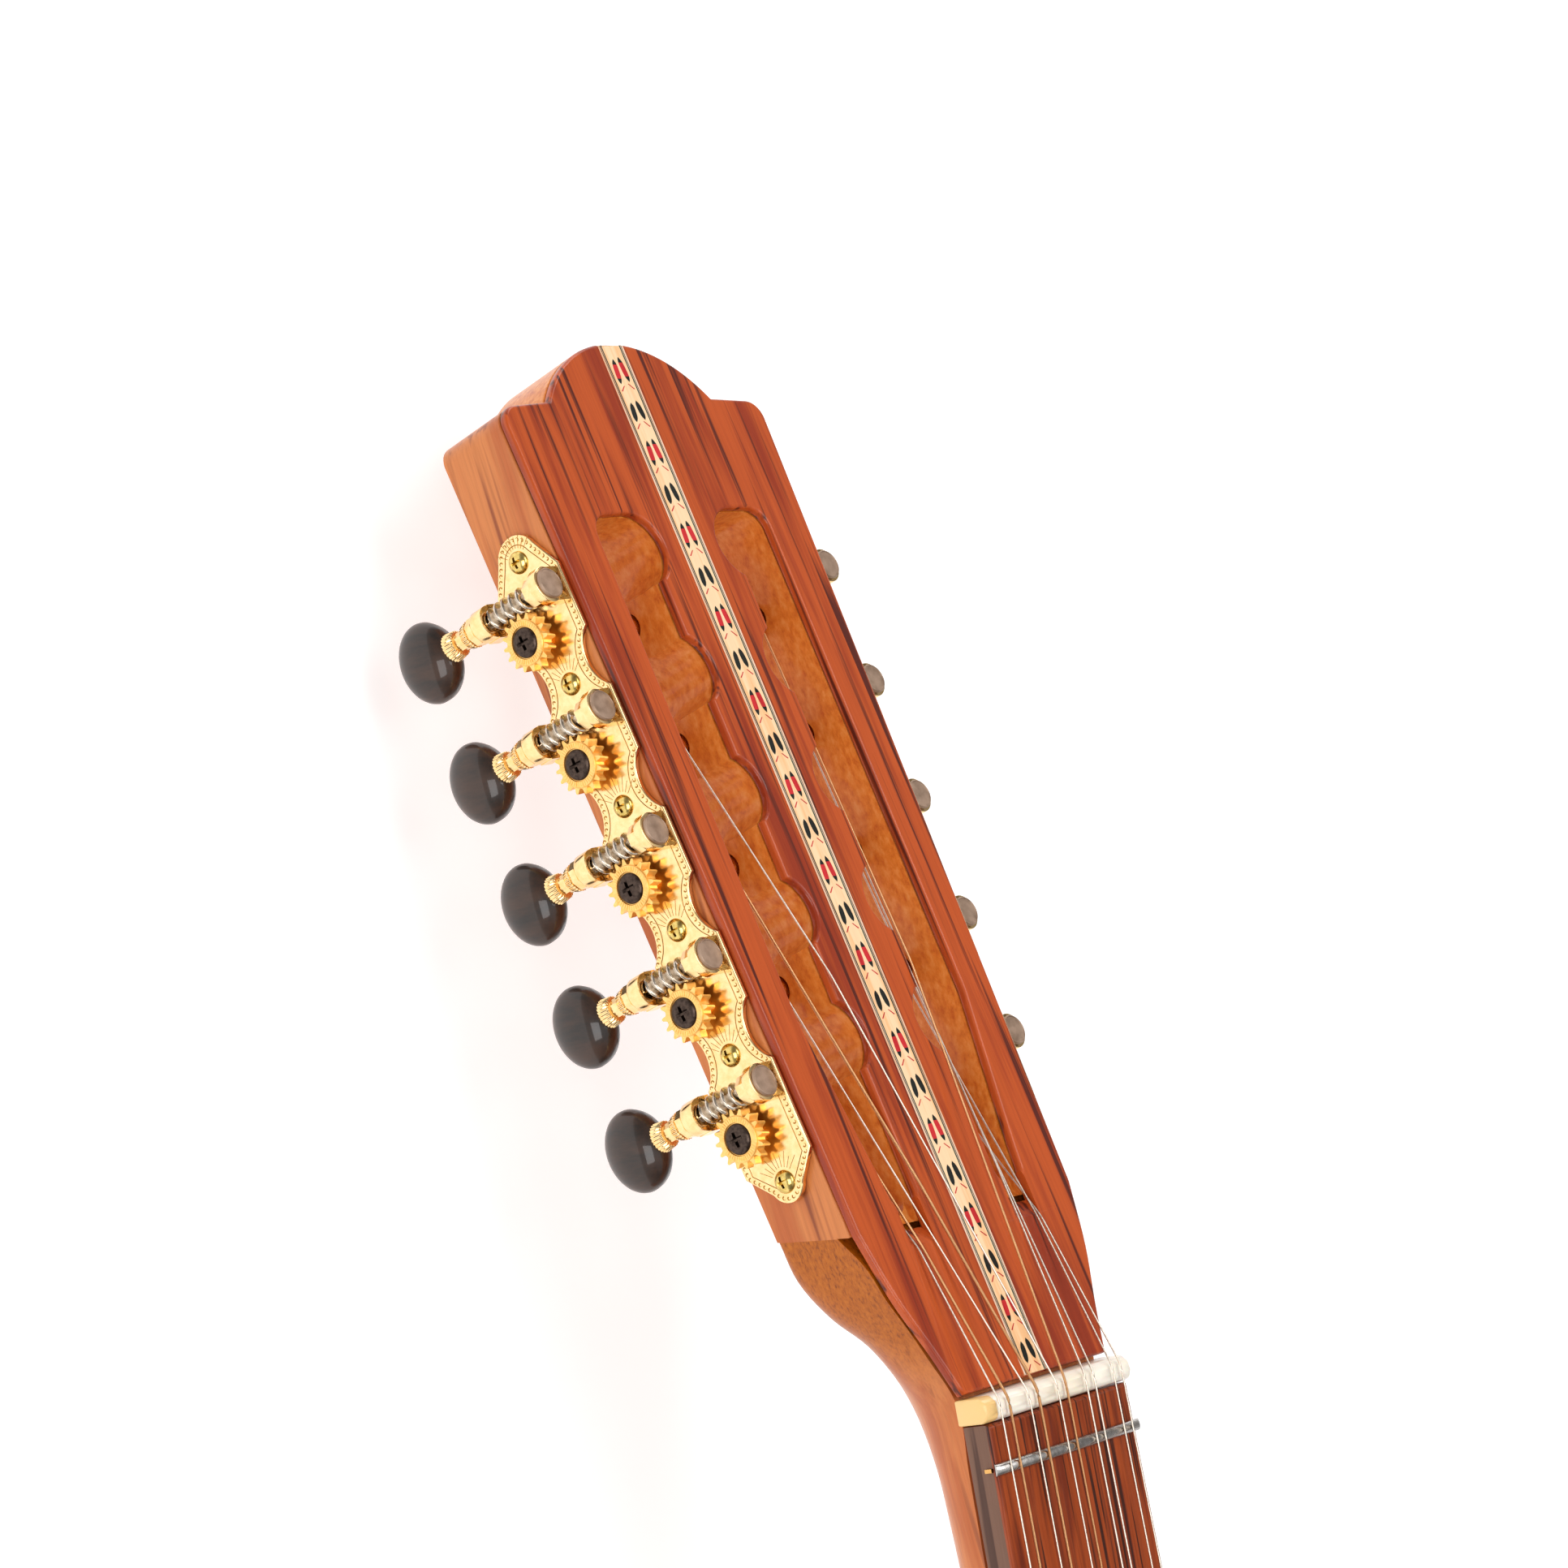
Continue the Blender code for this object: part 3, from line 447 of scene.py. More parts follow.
def new_tree(name, **sizes):
    """An empty geometry tree with a mesh in and out, a material, and named inputs for its sizes."""
    tree = bpy.data.node_groups.new(name, "GeometryNodeTree")
    tree.interface.new_socket("Mesh", in_out="OUTPUT", socket_type="NodeSocketGeometry")
    tree.interface.new_socket("Mesh", in_out="INPUT", socket_type="NodeSocketGeometry")
    tree.interface.new_socket("Material", in_out="INPUT", socket_type="NodeSocketMaterial")
    for label, kind in sizes.items():
        tree.interface.new_socket(label.replace("_", " "), in_out="INPUT", socket_type="NodeSocket" + kind)
    return tree, add_node(tree, "NodeGroupInput").outputs


def end_tree(tree, given, shape):
    """Every tree ends here: copies made real, then their material."""
    real = add_node(tree, "GeometryNodeRealizeInstances", {"Geometry": shape})
    dressed = add_node(tree, "GeometryNodeSetMaterial", {"Geometry": real.outputs["Geometry"],
                                                         "Material": given["Material"]})
    add_node(tree, "NodeGroupOutput", {"Mesh": dressed.outputs["Geometry"]})
    return tree


def grown(tree, mesh, look, place=Matrix.Identity(4), **sizes):
    """Runs a tree on a mesh and gives back the plain mesh that it makes, set in place."""
    holder = bpy.data.objects.new("holder", mesh)
    bpy.context.scene.collection.objects.link(holder)
    modifier = holder.modifiers.new("tree", "NODES")
    modifier.node_group = tree
    wanted = {"Material": look}
    wanted.update({label.replace("_", " "): value for label, value in sizes.items()})
    for item in tree.interface.items_tree:
        if item.in_out == "INPUT" and item.name in wanted:
            modifier[item.identifier] = wanted[item.name]
    made = evaluated_mesh(holder)
    holder.modifiers.clear()
    bpy.data.objects.remove(holder)
    made.transform(place)
    return tidy_mesh(made)


def ring_tree():
    """Copies of the given mesh round a circle about z, each turned with its x axis outwards."""
    tree, given = new_tree("copies_round_a_ring", Count="Int", Radius="Float")
    circle = add_node(tree, "GeometryNodeMeshCircle", {"Vertices": given["Count"],
                                                       "Radius": given["Radius"]})
    outwards = add_node(tree, "GeometryNodeInputPosition")
    turn = add_node(tree, "FunctionNodeAlignRotationToVector", {"Vector": outwards.outputs["Position"]},
                    axis="X", pivot_axis="Z")
    copies = add_node(tree, "GeometryNodeInstanceOnPoints",
                      {"Points": circle.outputs["Mesh"], "Instance": given["Mesh"],
                       "Rotation": turn.outputs["Rotation"]})
    return end_tree(tree, given, copies.outputs["Instances"])


def box_mesh(x0, x1, y0, y1, z0, z1, place=Matrix.Identity(4)):
    ring = [(x0, y0), (x1, y0), (x1, y1), (x0, y1)]
    return loft([[Vector((x, y, z)) for x, y in ring] for z in (z0, z1)], place)


def flat_ring(inner, outer, low, high, place, count=96):
    return slab([ring_points(outer, count), ring_points(inner, count)], low, high, 0, place)


RINGS = ring_tree()
HOLE_PLACE = Matrix.Translation((0, HOLE_Y, BODY_TOP))
ROSETTE_TILES = 72
for name, inner, outer, look in (("rosette_dark_inner", 0.0430, 0.0440, dark_binding),
                                 ("rosette_pale_inner", 0.0440, 0.0446, pale_line),
                                 ("rosette_field", 0.0446, 0.0504, dark_binding),
                                 ("rosette_pale_outer", 0.0504, 0.0510, pale_line),
                                 ("rosette_dark_outer", 0.0510, 0.0520, dark_binding)):
    ring = add_piece(name, flat_ring(inner, outer, 0, TOP_SKIN, HOLE_PLACE), look)
    hand_over(ring, "root", "inlay")
tile = slab([[(-0.0020, 0), (0, -0.0011), (0.0020, 0), (0, 0.0011)]], TOP_SKIN, 2 * TOP_SKIN)
tiles = grown(RINGS, tile, pale_line, HOLE_PLACE, Count=ROSETTE_TILES, Radius=0.0475)
hand_over(add_piece("rosette_tiles", tiles, pale_line), "root", "inlay")

# Neck and headstock core
# One long piece of straight-grained orange-brown hardwood, from the heel at the body to the headstock, which
# leans back by 15 degrees. Two slots with half-round pockets are routed through it, and it is lacquered.

FACE = 0.0125
VENEER_THICK = 0.002
SEAM = 0.0003
CORE_BACK = -0.0056
PLATE_LINE = abs(joint_place("post_left_1_spin").x) + 0.031 * 0.0014
SIDE_SLOPE = 0.0309
WOOD_SIDE = PLATE_LINE - 0.0021
NUT_BACK = -0.1595
VENEER_END = NUT_BACK + 0.0007
LOWER_CORNER = -0.1258
SHOULDER = 0.0412
CORNER_R = 0.004
CREST_R = 0.030
CREST_TOP = 0.054
TUNERS = 5
TUNER_STEP = 0.025
SLOT_OUTER = 0.0257
SLOT_INNER = 0.0125
POCKET_R = 0.0074
POCKET_X = 0.0156
FIRST_POCKET = 0.0106
SLOT_TAPER_START = -0.085
SLOT_END = -0.124
SLOT_END_X = 0.0165
SLOT_END_R = 0.0041
RAMP_START = -0.1312
CARVED_LEAN = 0.0053
CARVED_REACH = 0.040
POST_HOLE_R = 0.0031
ZERO_FRET_Y = sum(corner.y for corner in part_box("zero_fret")) / 2
FRETBOARD_LOW, FRETBOARD_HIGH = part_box("fretboard")
NUT_LOW, NUT_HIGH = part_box("nut")
BOARD_HALF_NUT = 0.0225
BOARD_HALF_END = 0.0300


def half_board(y):
    share = (ZERO_FRET_Y - y) / (ZERO_FRET_Y - FRETBOARD_LOW.y)
    return BOARD_HALF_NUT + (BOARD_HALF_END - BOARD_HALF_NUT) * share


def side_line(y):
    """Half width of the headstock's wood at y."""
    return WOOD_SIDE + SIDE_SLOPE * y


def eased(points, steps):
    """A smooth line through points, with steps pieces between each two, however uneven they are."""
    points = [Vector(point) for point in points]
    spans = [(b - a).length for a, b in zip(points, points[1:])]
    slopes = [(b - a) / span for a, b, span in zip(points, points[1:], spans)]
    ways = [slopes[0]]
    for i in range(1, len(slopes)):
        ways.append((slopes[i - 1] * spans[i] + slopes[i] * spans[i - 1]) / (spans[i - 1] + spans[i]))
    ways.append(slopes[-1])
    made = []
    for i, span in enumerate(spans):
        for k in range(steps):
            t = k / steps
            made.append(points[i] * (2 * t ** 3 - 3 * t * t + 1) + points[i + 1] * (3 * t * t - 2 * t ** 3)
                        + ways[i] * span * (t ** 3 - 2 * t * t + t) + ways[i + 1] * span * (t ** 3 - t * t))
    return made + [points[-1]]


def head_outline(bottom):
    """The headstock's face outline, from the bottom line up the right side and down the left."""
    corner_x = side_line(SHOULDER) - CORNER_R
    crest_y = CREST_TOP - CREST_R
    cusp_angle = math.degrees(math.asin((SHOULDER + 0.0006 - crest_y) / CREST_R))
    right = []
    if bottom < LOWER_CORNER:
        flare = [(0.0227, VENEER_END), (0.0257, -0.1502), (0.0302, -0.1387),
                 (side_line(LOWER_CORNER), LOWER_CORNER)]
        right = [tuple(p) for p in eased(flare, 6)][:-1]
    right += [(side_line(LOWER_CORNER), max(LOWER_CORNER, bottom))]
    right += arc(corner_x, SHOULDER - CORNER_R, CORNER_R, 2, 88, 8)
    right += arc(0, crest_y, CREST_R, cusp_angle, 90, 18)
    return right + [(-x, y) for x, y in reversed(right[:-1])]


def slot_outline(side):
    """A straight channel with five half-round pockets into the middle rib."""
    outer_end = SLOT_END_X + SLOT_END_R
    outline = [(SLOT_OUTER, SLOT_TAPER_START), (SLOT_OUTER, FIRST_POCKET + 0.002)]
    outline += arc(SLOT_OUTER - 0.0045, FIRST_POCKET + 0.0028, 0.0045, 0, 80, 8)[1:]
    reach = math.degrees(math.acos((POCKET_X - SLOT_INNER) / POCKET_R))
    for k in range(TUNERS):
        start = 90 if k == 0 else 180 - reach
        outline += arc(POCKET_X, FIRST_POCKET - TUNER_STEP * k, POCKET_R, start, 180 + reach, 18)
    outline += arc(SLOT_END_X, SLOT_END + SLOT_END_R, SLOT_END_R, 190, 350, 12)
    outline.append((outer_end + 0.0004, SLOT_END + 0.008))
    return [(side * x, y) for x, y in outline]


def ramp_mesh(side):
    """The slope that a string pair runs down, at the nut end of its slot."""
    drop = 0.0072 * math.tan(math.radians(27))
    wedge = [(RAMP_START, FACE + 0.0005), (SLOT_END + 0.004, FACE + 0.0005),
             (SLOT_END + 0.004, FACE - drop), (SLOT_END - 0.0002, FACE - drop)]
    reach = SLOT_END_R - 0.0004
    return loft([[Vector((side * (SLOT_END_X + x), y, z)) for y, z in wedge] for x in (-reach, reach)], HEAD)


def machine_place(side, index):
    """Axes (out, tip, front) of one tuning machine, from its two joints."""
    post = "post_%s_%d_spin" % ("left" if side < 0 else "right", index + 1)
    out = Vector(joints[post]["axis"]).normalized()
    tip = side * HEAD_FRONT.cross(out)
    turn = Matrix((out, tip, HEAD_FRONT)).transposed().to_4x4()
    return Matrix.Translation(joint_place(post)) @ turn


OUTWARDS = Matrix.Rotation(math.radians(90), 4, "Y")


def neck_ring(half, top, depth, power, steps=28):
    """A D-shaped section: flat on top, and rounder or squarer below as power says."""
    points = []
    for k in range(steps + 1):
        angle = math.pi + math.pi * k / steps
        across, down = math.cos(angle), -math.sin(angle)
        points.append((half * math.copysign(abs(across) ** (2 / power), across),
                       top - depth * abs(down) ** (2 / power)))
    return points


def neck_skin():
    """The neck from inside the heel to just inside the headstock, as one smooth skin."""
    core_top = FACE - VENEER_THICK - SEAM
    heel = BODY_HALF_LENGTH
    stations = [(heel - 0.015, 0.085, 2.0), (heel + 0.006, 0.084, 2.0), (heel + 0.016, 0.074, 2.0),
                (heel + 0.030, 0.044, 2.0), (heel + 0.046, 0.024, 2.1), (heel + 0.070, 0.0178, 2.2),
                (heel + 0.200, 0.0155, 2.2), (heel + 0.315, 0.0135, 2.2), (heel + 0.335, 0.0149, 2.2),
                (ZERO_FRET_Y, 0.0159, 2.2), (NUT_HIGH.y - 0.0009, 0.0200, 2.2)]
    rings = []
    for y, depth, power in stations:
        rings.append([(x, y, z) for x, z in neck_ring(half_board(y) - 0.0004, BODY_TOP, depth, power)])
    corner_half = side_line(LOWER_CORNER) + 0.0001
    carved_stations = ((-0.1502, 0.0257, 0.0172, 2.6, 0.0), (-0.1445, 0.0277, 0.0174, 3.2, 0.0012),
                       (-0.1387, 0.0302, 0.0188, 5.0, 0.0026), (-0.1320, 0.0322, 0.0186, 10.0, 0.0042),
                       (LOWER_CORNER, corner_half, core_top - CORE_BACK + 0.0001, 40.0, CARVED_LEAN))
    for y, half, depth, power, lean in carved_stations:
        ring = neck_ring(half, core_top, depth, power)
        rings.append([tuple(HEAD @ Vector((x, y + lean * (core_top - z) / depth, z))) for x, z in ring])
    tracks = [eased([ring[i] for ring in rings], 5) for i in range(len(rings[0]))]
    inner = neck_ring(side_line(LOWER_CORNER) - 0.0008, core_top - 0.0006,
                      core_top - CORE_BACK - 0.0012, 40.0)
    closing = [tuple(HEAD @ Vector((x, LOWER_CORNER + 0.009, z))) for x, z in inner]
    return loft([list(ring) for ring in zip(*tracks)] + [closing])


def below_corner():
    """Everything on the nut's side of the leaning line where the carving starts."""
    core_top = FACE - VENEER_THICK - SEAM
    slope = CARVED_LEAN / (core_top - CORE_BACK)
    low, high = CORE_BACK - 0.003, core_top + 0.003
    edge = [(LOWER_CORNER + slope * (core_top - z), z) for z in (low, high)]
    outline = [(LOWER_CORNER - 0.02, low), edge[0], edge[1], (LOWER_CORNER - 0.02, high)]
    return loft([[Vector((x, y, z)) for y, z in outline] for x in (-0.05, 0.05)], HEAD)


def post_hole_cutters(side):
    holes = []
    for index in range(TUNERS):
        place = machine_place(side, index) @ OUTWARDS
        holes.append(turned_round([(-0.0293, POST_HOLE_R), (0.004, POST_HOLE_R)], 32, place))
    return holes


def neck_wood_finish():
    """The neck's hardwood: golden where the slots are cut, and darker and speckled where it is carved."""
    made = wood("neck_hardwood", paint(208, 126, 70), paint(186, 98, 50), paint(150, 78, 44), 0.25,
                math.radians(-8), 140, 0.62, 0.5)
    tree = made.node_tree
    shader = tree.nodes["Principled BSDF"]
    plain = shader.inputs["Base Color"].links[0].from_socket
    where = add_node(tree, "ShaderNodeTexCoord")
    in_head = add_node(tree, "ShaderNodeMapping",
                       {"Vector": where.outputs["Object"], "Location": HEAD.translation,
                        "Rotation": HEAD.to_euler()}, vector_type="TEXTURE")
    place = add_node(tree, "ShaderNodeSeparateXYZ", {"Vector": in_head.outputs["Vector"]})
    across = add_node(tree, "ShaderNodeMath", {0: place.outputs["X"]}, operation="ABSOLUTE")
    in_slot = add_node(tree, "ShaderNodeMath", {0: across.outputs[0], 1: SLOT_OUTER + 0.0002},
                       operation="LESS_THAN")
    above_back = add_node(tree, "ShaderNodeMath", {0: place.outputs["Z"], 1: CORE_BACK + 0.0006},
                          operation="GREATER_THAN")
    past_nut = add_node(tree, "ShaderNodeMath", {0: place.outputs["Y"], 1: SLOT_END - 0.004},
                        operation="GREATER_THAN")
    both = add_node(tree, "ShaderNodeMath", {0: in_slot.outputs[0], 1: above_back.outputs[0]},
                    operation="MULTIPLY")
    slot_share = add_node(tree, "ShaderNodeMath", {0: both.outputs[0], 1: past_nut.outputs[0]},
                          operation="MULTIPLY")
    specks = object_noise(tree, (1, 0.5, 1), 700, 4.0, 0.65, math.radians(-15))
    golden = colour_ramp(tree, specks, (0.3, paint(198, 98, 34)), (0.5, paint(222, 128, 48)),
                         (0.75, paint(236, 158, 84)))
    slotted = add_node(tree, "ShaderNodeMix", {0: slot_share.outputs[0], 6: plain, 7: golden},
                       data_type="RGBA")
    core_top = FACE - VENEER_THICK - SEAM
    slope = CARVED_LEAN / (core_top - CORE_BACK)
    lean = add_node(tree, "ShaderNodeMath", {0: place.outputs["Z"], 1: -slope, 2: slope * core_top},
                    operation="MULTIPLY_ADD")
    start = add_node(tree, "ShaderNodeMath", {0: lean.outputs[0], 1: LOWER_CORNER}, operation="ADD")
    past = add_node(tree, "ShaderNodeMath", {0: start.outputs[0], 1: place.outputs["Y"]},
                    operation="SUBTRACT")
    share = add_node(tree, "ShaderNodeMath", {0: past.outputs[0], 1: 1 / CARVED_REACH}, operation="MULTIPLY")
    carved_share = colour_ramp(tree, share.outputs[0], (0.0, (0, 0, 0, 1)), (0.004, (1, 1, 1, 1)),
                               (0.5, (0.9, 0.9, 0.9, 1)), (0.75, (0.25, 0.25, 0.25, 1)),
                               (1.0, (0, 0, 0, 1)))
    flecks = object_noise(tree, (1, 0.35, 1), 1900, 4.0, 0.7, math.radians(-8))
    carved_tone = colour_ramp(tree, flecks, (0.3, paint(112, 52, 6)), (0.46, paint(168, 86, 8)),
                              (0.72, paint(190, 106, 20)))
    dressed = add_node(tree, "ShaderNodeMix", {0: carved_share, 6: slotted.outputs[2], 7: carved_tone},
                       data_type="RGBA")
    tree.links.new(dressed.outputs[2], shader.inputs["Base Color"])
    return made


neck = add_piece("neck", neck_skin(), neck_wood_finish())
core = add_piece("core", slab([head_outline(LOWER_CORNER)], CORE_BACK, FACE - VENEER_THICK - 0.00002, 0.0004,
                              HEAD), neck.data.materials[0])
carved(core, below_corner())
core_mesh = core.data
bpy.data.objects.remove(core)
carved(neck, core_mesh, operation="UNION")
slot_cutters = [slab([slot_outline(side)], -0.02, 0.03, 0, HEAD) for side in (-1, 1)]
carved(neck, *slot_cutters, ramp_mesh(-1), ramp_mesh(1),
       slab([body_outline(-SEAM)], -0.01, 0.12), *post_hole_cutters(-1), *post_hole_cutters(1))
level_shading(neck)
hand_over(neck, "root", "neck_wood", "neck")

# Headstock veneer
# A 2 mm face of glossy orange-red hardwood with dark streaks, glued over the core. Its outer edges and slot
# edges are rounded by hand before lacquering, and a groove for the inlay runs down its middle.

INLAY_HALF = 0.0037
INLAY_THICK = 0.001

veneer_wood = wood("veneer_hardwood", paint(190, 82, 32), paint(150, 52, 22), paint(88, 30, 18), 0.35,
                   math.radians(-15), 210, 0.56, 0.5)
veneer_outlines = [head_outline(NUT_BACK), slot_outline(-1), slot_outline(1)]
veneer = add_piece("headstock_veneer", slab(veneer_outlines, FACE - VENEER_THICK, FACE, 0.0007, HEAD, 3),
                   veneer_wood)
groove = box_mesh(-INLAY_HALF - 0.00002, INLAY_HALF + 0.00002, NUT_BACK - 0.01, CREST_TOP + 0.01,
                  FACE - INLAY_THICK, FACE + 0.01, HEAD)
carved(veneer, groove, ramp_mesh(-1), ramp_mesh(1))
level_shading(veneer)
hand_over(veneer, "root", "dark_wood", "headstock_veneer")

# Headstock inlay
# A ready-made strip of dyed wood let into the veneer: a cream field with pairs of long black and red lozenges
# between fine dark and pale lines. It is sanded flush.

INLAY_PERIOD = 0.0176
INLAY_LIFT = 0.00003
COLUMN_SHIFT = 0.00022
LEAF_X = 0.00112
LEAF_LEAN = 0.00025
INLAY_START = CREST_TOP - 0.006


def dyed_wood(name, tone, shade):
    return wood(name, tone, shade, shade, 0.3, math.radians(-15), 500, 0.75, 0.2)


cream_field = dyed_wood("inlay_cream", paint(252, 216, 172), paint(246, 192, 138))
black_dye = dyed_wood("inlay_black", paint(26, 30, 28), paint(16, 18, 16))
dark_line = dyed_wood("inlay_green_black", paint(44, 62, 52), paint(30, 44, 38))
red_dye = dyed_wood("inlay_red", paint(206, 44, 50), paint(184, 32, 38))
pale_edge = dyed_wood("inlay_pale_edge", paint(240, 206, 178), paint(228, 178, 140))


def crest_y(x):
    return CREST_TOP - CREST_R + math.sqrt(CREST_R ** 2 - x ** 2) - 0.0004


def inlay_strip(x0, x1, low, high):
    outline = [(x0, NUT_BACK + 0.0009), (x1, NUT_BACK + 0.0009), (x1, crest_y(x1)), (x0, crest_y(x0))]
    return slab([outline], low, high, 0, HEAD)


inlay = add_piece("headstock_inlay",
                  inlay_strip(-INLAY_HALF, INLAY_HALF, FACE - INLAY_THICK + 0.00002, FACE), cream_field)
hand_over(inlay, "root", "inlay", "headstock_inlay")


def join_meshes(meshes):
    """Several closed shapes held in one mesh."""
    bm = bmesh.new()
    for mesh in meshes:
        bm.from_mesh(mesh)
    whole = bpy.data.meshes.new("joined")
    bm.to_mesh(whole)
    bm.free()
    return tidy_mesh(whole)


def inlay_lines(name, near, far, look):
    meshes = [inlay_strip(min(side * near, side * far), max(side * near, side * far), FACE,
                          FACE + INLAY_LIFT) for side in (-1, 1)]
    hand_over(add_piece(name, join_meshes(meshes), look), "root", "inlay")


inlay_lines("inlay_edge_lines", 0.00325, 0.00370, pale_edge)
inlay_lines("inlay_outer_dark_lines", 0.00305, 0.00325, dark_line)
inlay_lines("inlay_pale_lines", 0.00292, 0.00305, pale_edge)
inlay_lines("inlay_inner_dark_lines", 0.00262, 0.00292, dark_line)


def row_tree():
    """Copies of the given mesh in a straight row."""
    tree, given = new_tree("copies_in_a_row", Count="Int", Step="Vector")
    row = add_node(tree, "GeometryNodeMeshLine", {"Count": given["Count"], "Offset": given["Step"]})
    copies = add_node(tree, "GeometryNodeInstanceOnPoints",
                      {"Points": row.outputs["Mesh"], "Instance": given["Mesh"]})
    return end_tree(tree, given, copies.outputs["Instances"])


ROWS = row_tree()


def dyed_row(name, start, look, *outlines):
    """The same shapes once in each period along the strip, mirrored into two columns."""
    shapes = []
    for column in (-1, 1):
        for outline in outlines:
            shapes.append(slab([[(column * x, y + column * COLUMN_SHIFT) for x, y in outline]], FACE,
                               FACE + INLAY_LIFT))
    count = int((INLAY_START + start - NUT_BACK - 0.004) / INLAY_PERIOD) + 1
    place = HEAD @ Matrix.Translation((0, INLAY_START + start, 0))
    mesh = grown(ROWS, join_meshes(shapes), look, place, Count=count, Step=(0.0, -INLAY_PERIOD, 0.0))
    hand_over(add_piece(name, mesh, look), "root", "inlay")


def leaf_slice(half_long, half_wide, low, high):
    """The part of a long pointed leaf between two heights. The leaf leans outwards at its lower end."""
    def across(y):
        return half_wide * (1 - (abs(y) / half_long) ** 3.5)

    heights = [low + (high - low) * k / 8 for k in range(9)]
    outer = [(LEAF_X - LEAF_LEAN * y / half_long + across(y), y) for y in heights]
    inner = [(LEAF_X - LEAF_LEAN * y / half_long - across(y), y) for y in reversed(heights)]
    kept = [outer[0]]
    for point in outer[1:] + inner:
        if math.dist(point, kept[-1]) > 0.00002 and math.dist(point, kept[0]) > 0.00002:
            kept.append(point)
    return kept


def dash(y0, y1):
    return [(0.00055, y0), (0.00085, y0), (0.0021, y1), (0.0018, y1 - 0.0001)]


dyed_row("inlay_red_leaves", 0.0, red_dye, leaf_slice(0.0027, 0.00068, -0.0015, 0.0015))
dyed_row("inlay_black_tips", 0.0, black_dye, leaf_slice(0.0027, 0.00068, 0.0015, 0.0027),
         leaf_slice(0.0027, 0.00068, -0.0027, -0.0015))
dyed_row("inlay_upper_dashes", 0.0, red_dye, dash(-0.0031, -0.0042))
dyed_row("inlay_black_leaves", -0.0088, black_dye, leaf_slice(0.0021, 0.00068, -0.0021, 0.0021))
dyed_row("inlay_lower_dashes", -0.0088, red_dye, dash(-0.0024, -0.0035))

# Fretboard and frets
# A reddish-brown hardwood board with sides stained grey-brown, glued to the neck and over the soundboard up
# to the sound hole. Twenty nickel-silver frets are pressed into sawn slots at the spacing of an
# equal-tempered scale.

SCALE = 0.620
LAST_FRET = 20
FRET_HALF_WIDTH = 0.0011
FRET_CROWN = 0.0010
BOARD_TOP = FRETBOARD_HIGH.z - FRET_CROWN


def board_outline():
    y0, y1 = FRETBOARD_LOW.y, FRETBOARD_HIGH.y
    return [(-half_board(y0), y0), (half_board(y0), y0), (half_board(y1), y1), (-half_board(y1), y1)]


board_wood = wood("fretboard_rosewood", paint(158, 68, 26), paint(116, 42, 16), paint(60, 22, 10), 0.08,
                  0.0, 420, 0.55, 0.6)
fretboard = add_piece("fretboard", slab([board_outline()], FRETBOARD_LOW.z, BOARD_TOP, 0.0009, rounds=3),
                      board_wood)
side_wood = wood("fretboard_side_stain", paint(120, 88, 72), paint(106, 76, 62), paint(84, 58, 48), 0.1)
fretboard.data.materials.append(side_wood)
for face in fretboard.data.polygons:
    if abs(face.normal.x) > 0.9:
        face.material_index = 1
level_shading(fretboard)
hand_over(fretboard, "root", "dark_wood", "fretboard")


def drawn_metal(name, pale, shade, rough, scale=900, tint=(1, 1, 1, 1)):
    """Polished metal with faint cloudy tarnish and fine marks."""
    made, tree, shader = new_finish(name, Metallic=1.0)
    shader.inputs["Specular Tint"].default_value = tint
    cloud = object_noise(tree, (1, 1, 1), scale, 3.0)
    tree.links.new(colour_ramp(tree, cloud, (0.3, shade), (0.62, pale)), shader.inputs["Base Color"])
    worn = add_node(tree, "ShaderNodeMapRange", {"Value": cloud, "To Min": rough * 0.7,
                                                 "To Max": rough * 1.4})
    tree.links.new(worn.outputs["Result"], shader.inputs["Roughness"])
    marks = object_noise(tree, (1, 1, 1), scale * 6, 2.0)
    add_bump(tree, shader, marks, 0.04, 0.00005)
    return made


fret_metal = drawn_metal("fret_nickel_silver", paint(222, 214, 204), paint(190, 182, 172), 0.22)


def fret_profile(count=8):
    """The crown of a fret in section, (y, z) from one foot over to the other."""
    return [(FRET_HALF_WIDTH * math.cos(math.pi * k / count), FRET_CROWN * math.sin(math.pi * k / count))
            for k in range(count + 1)]


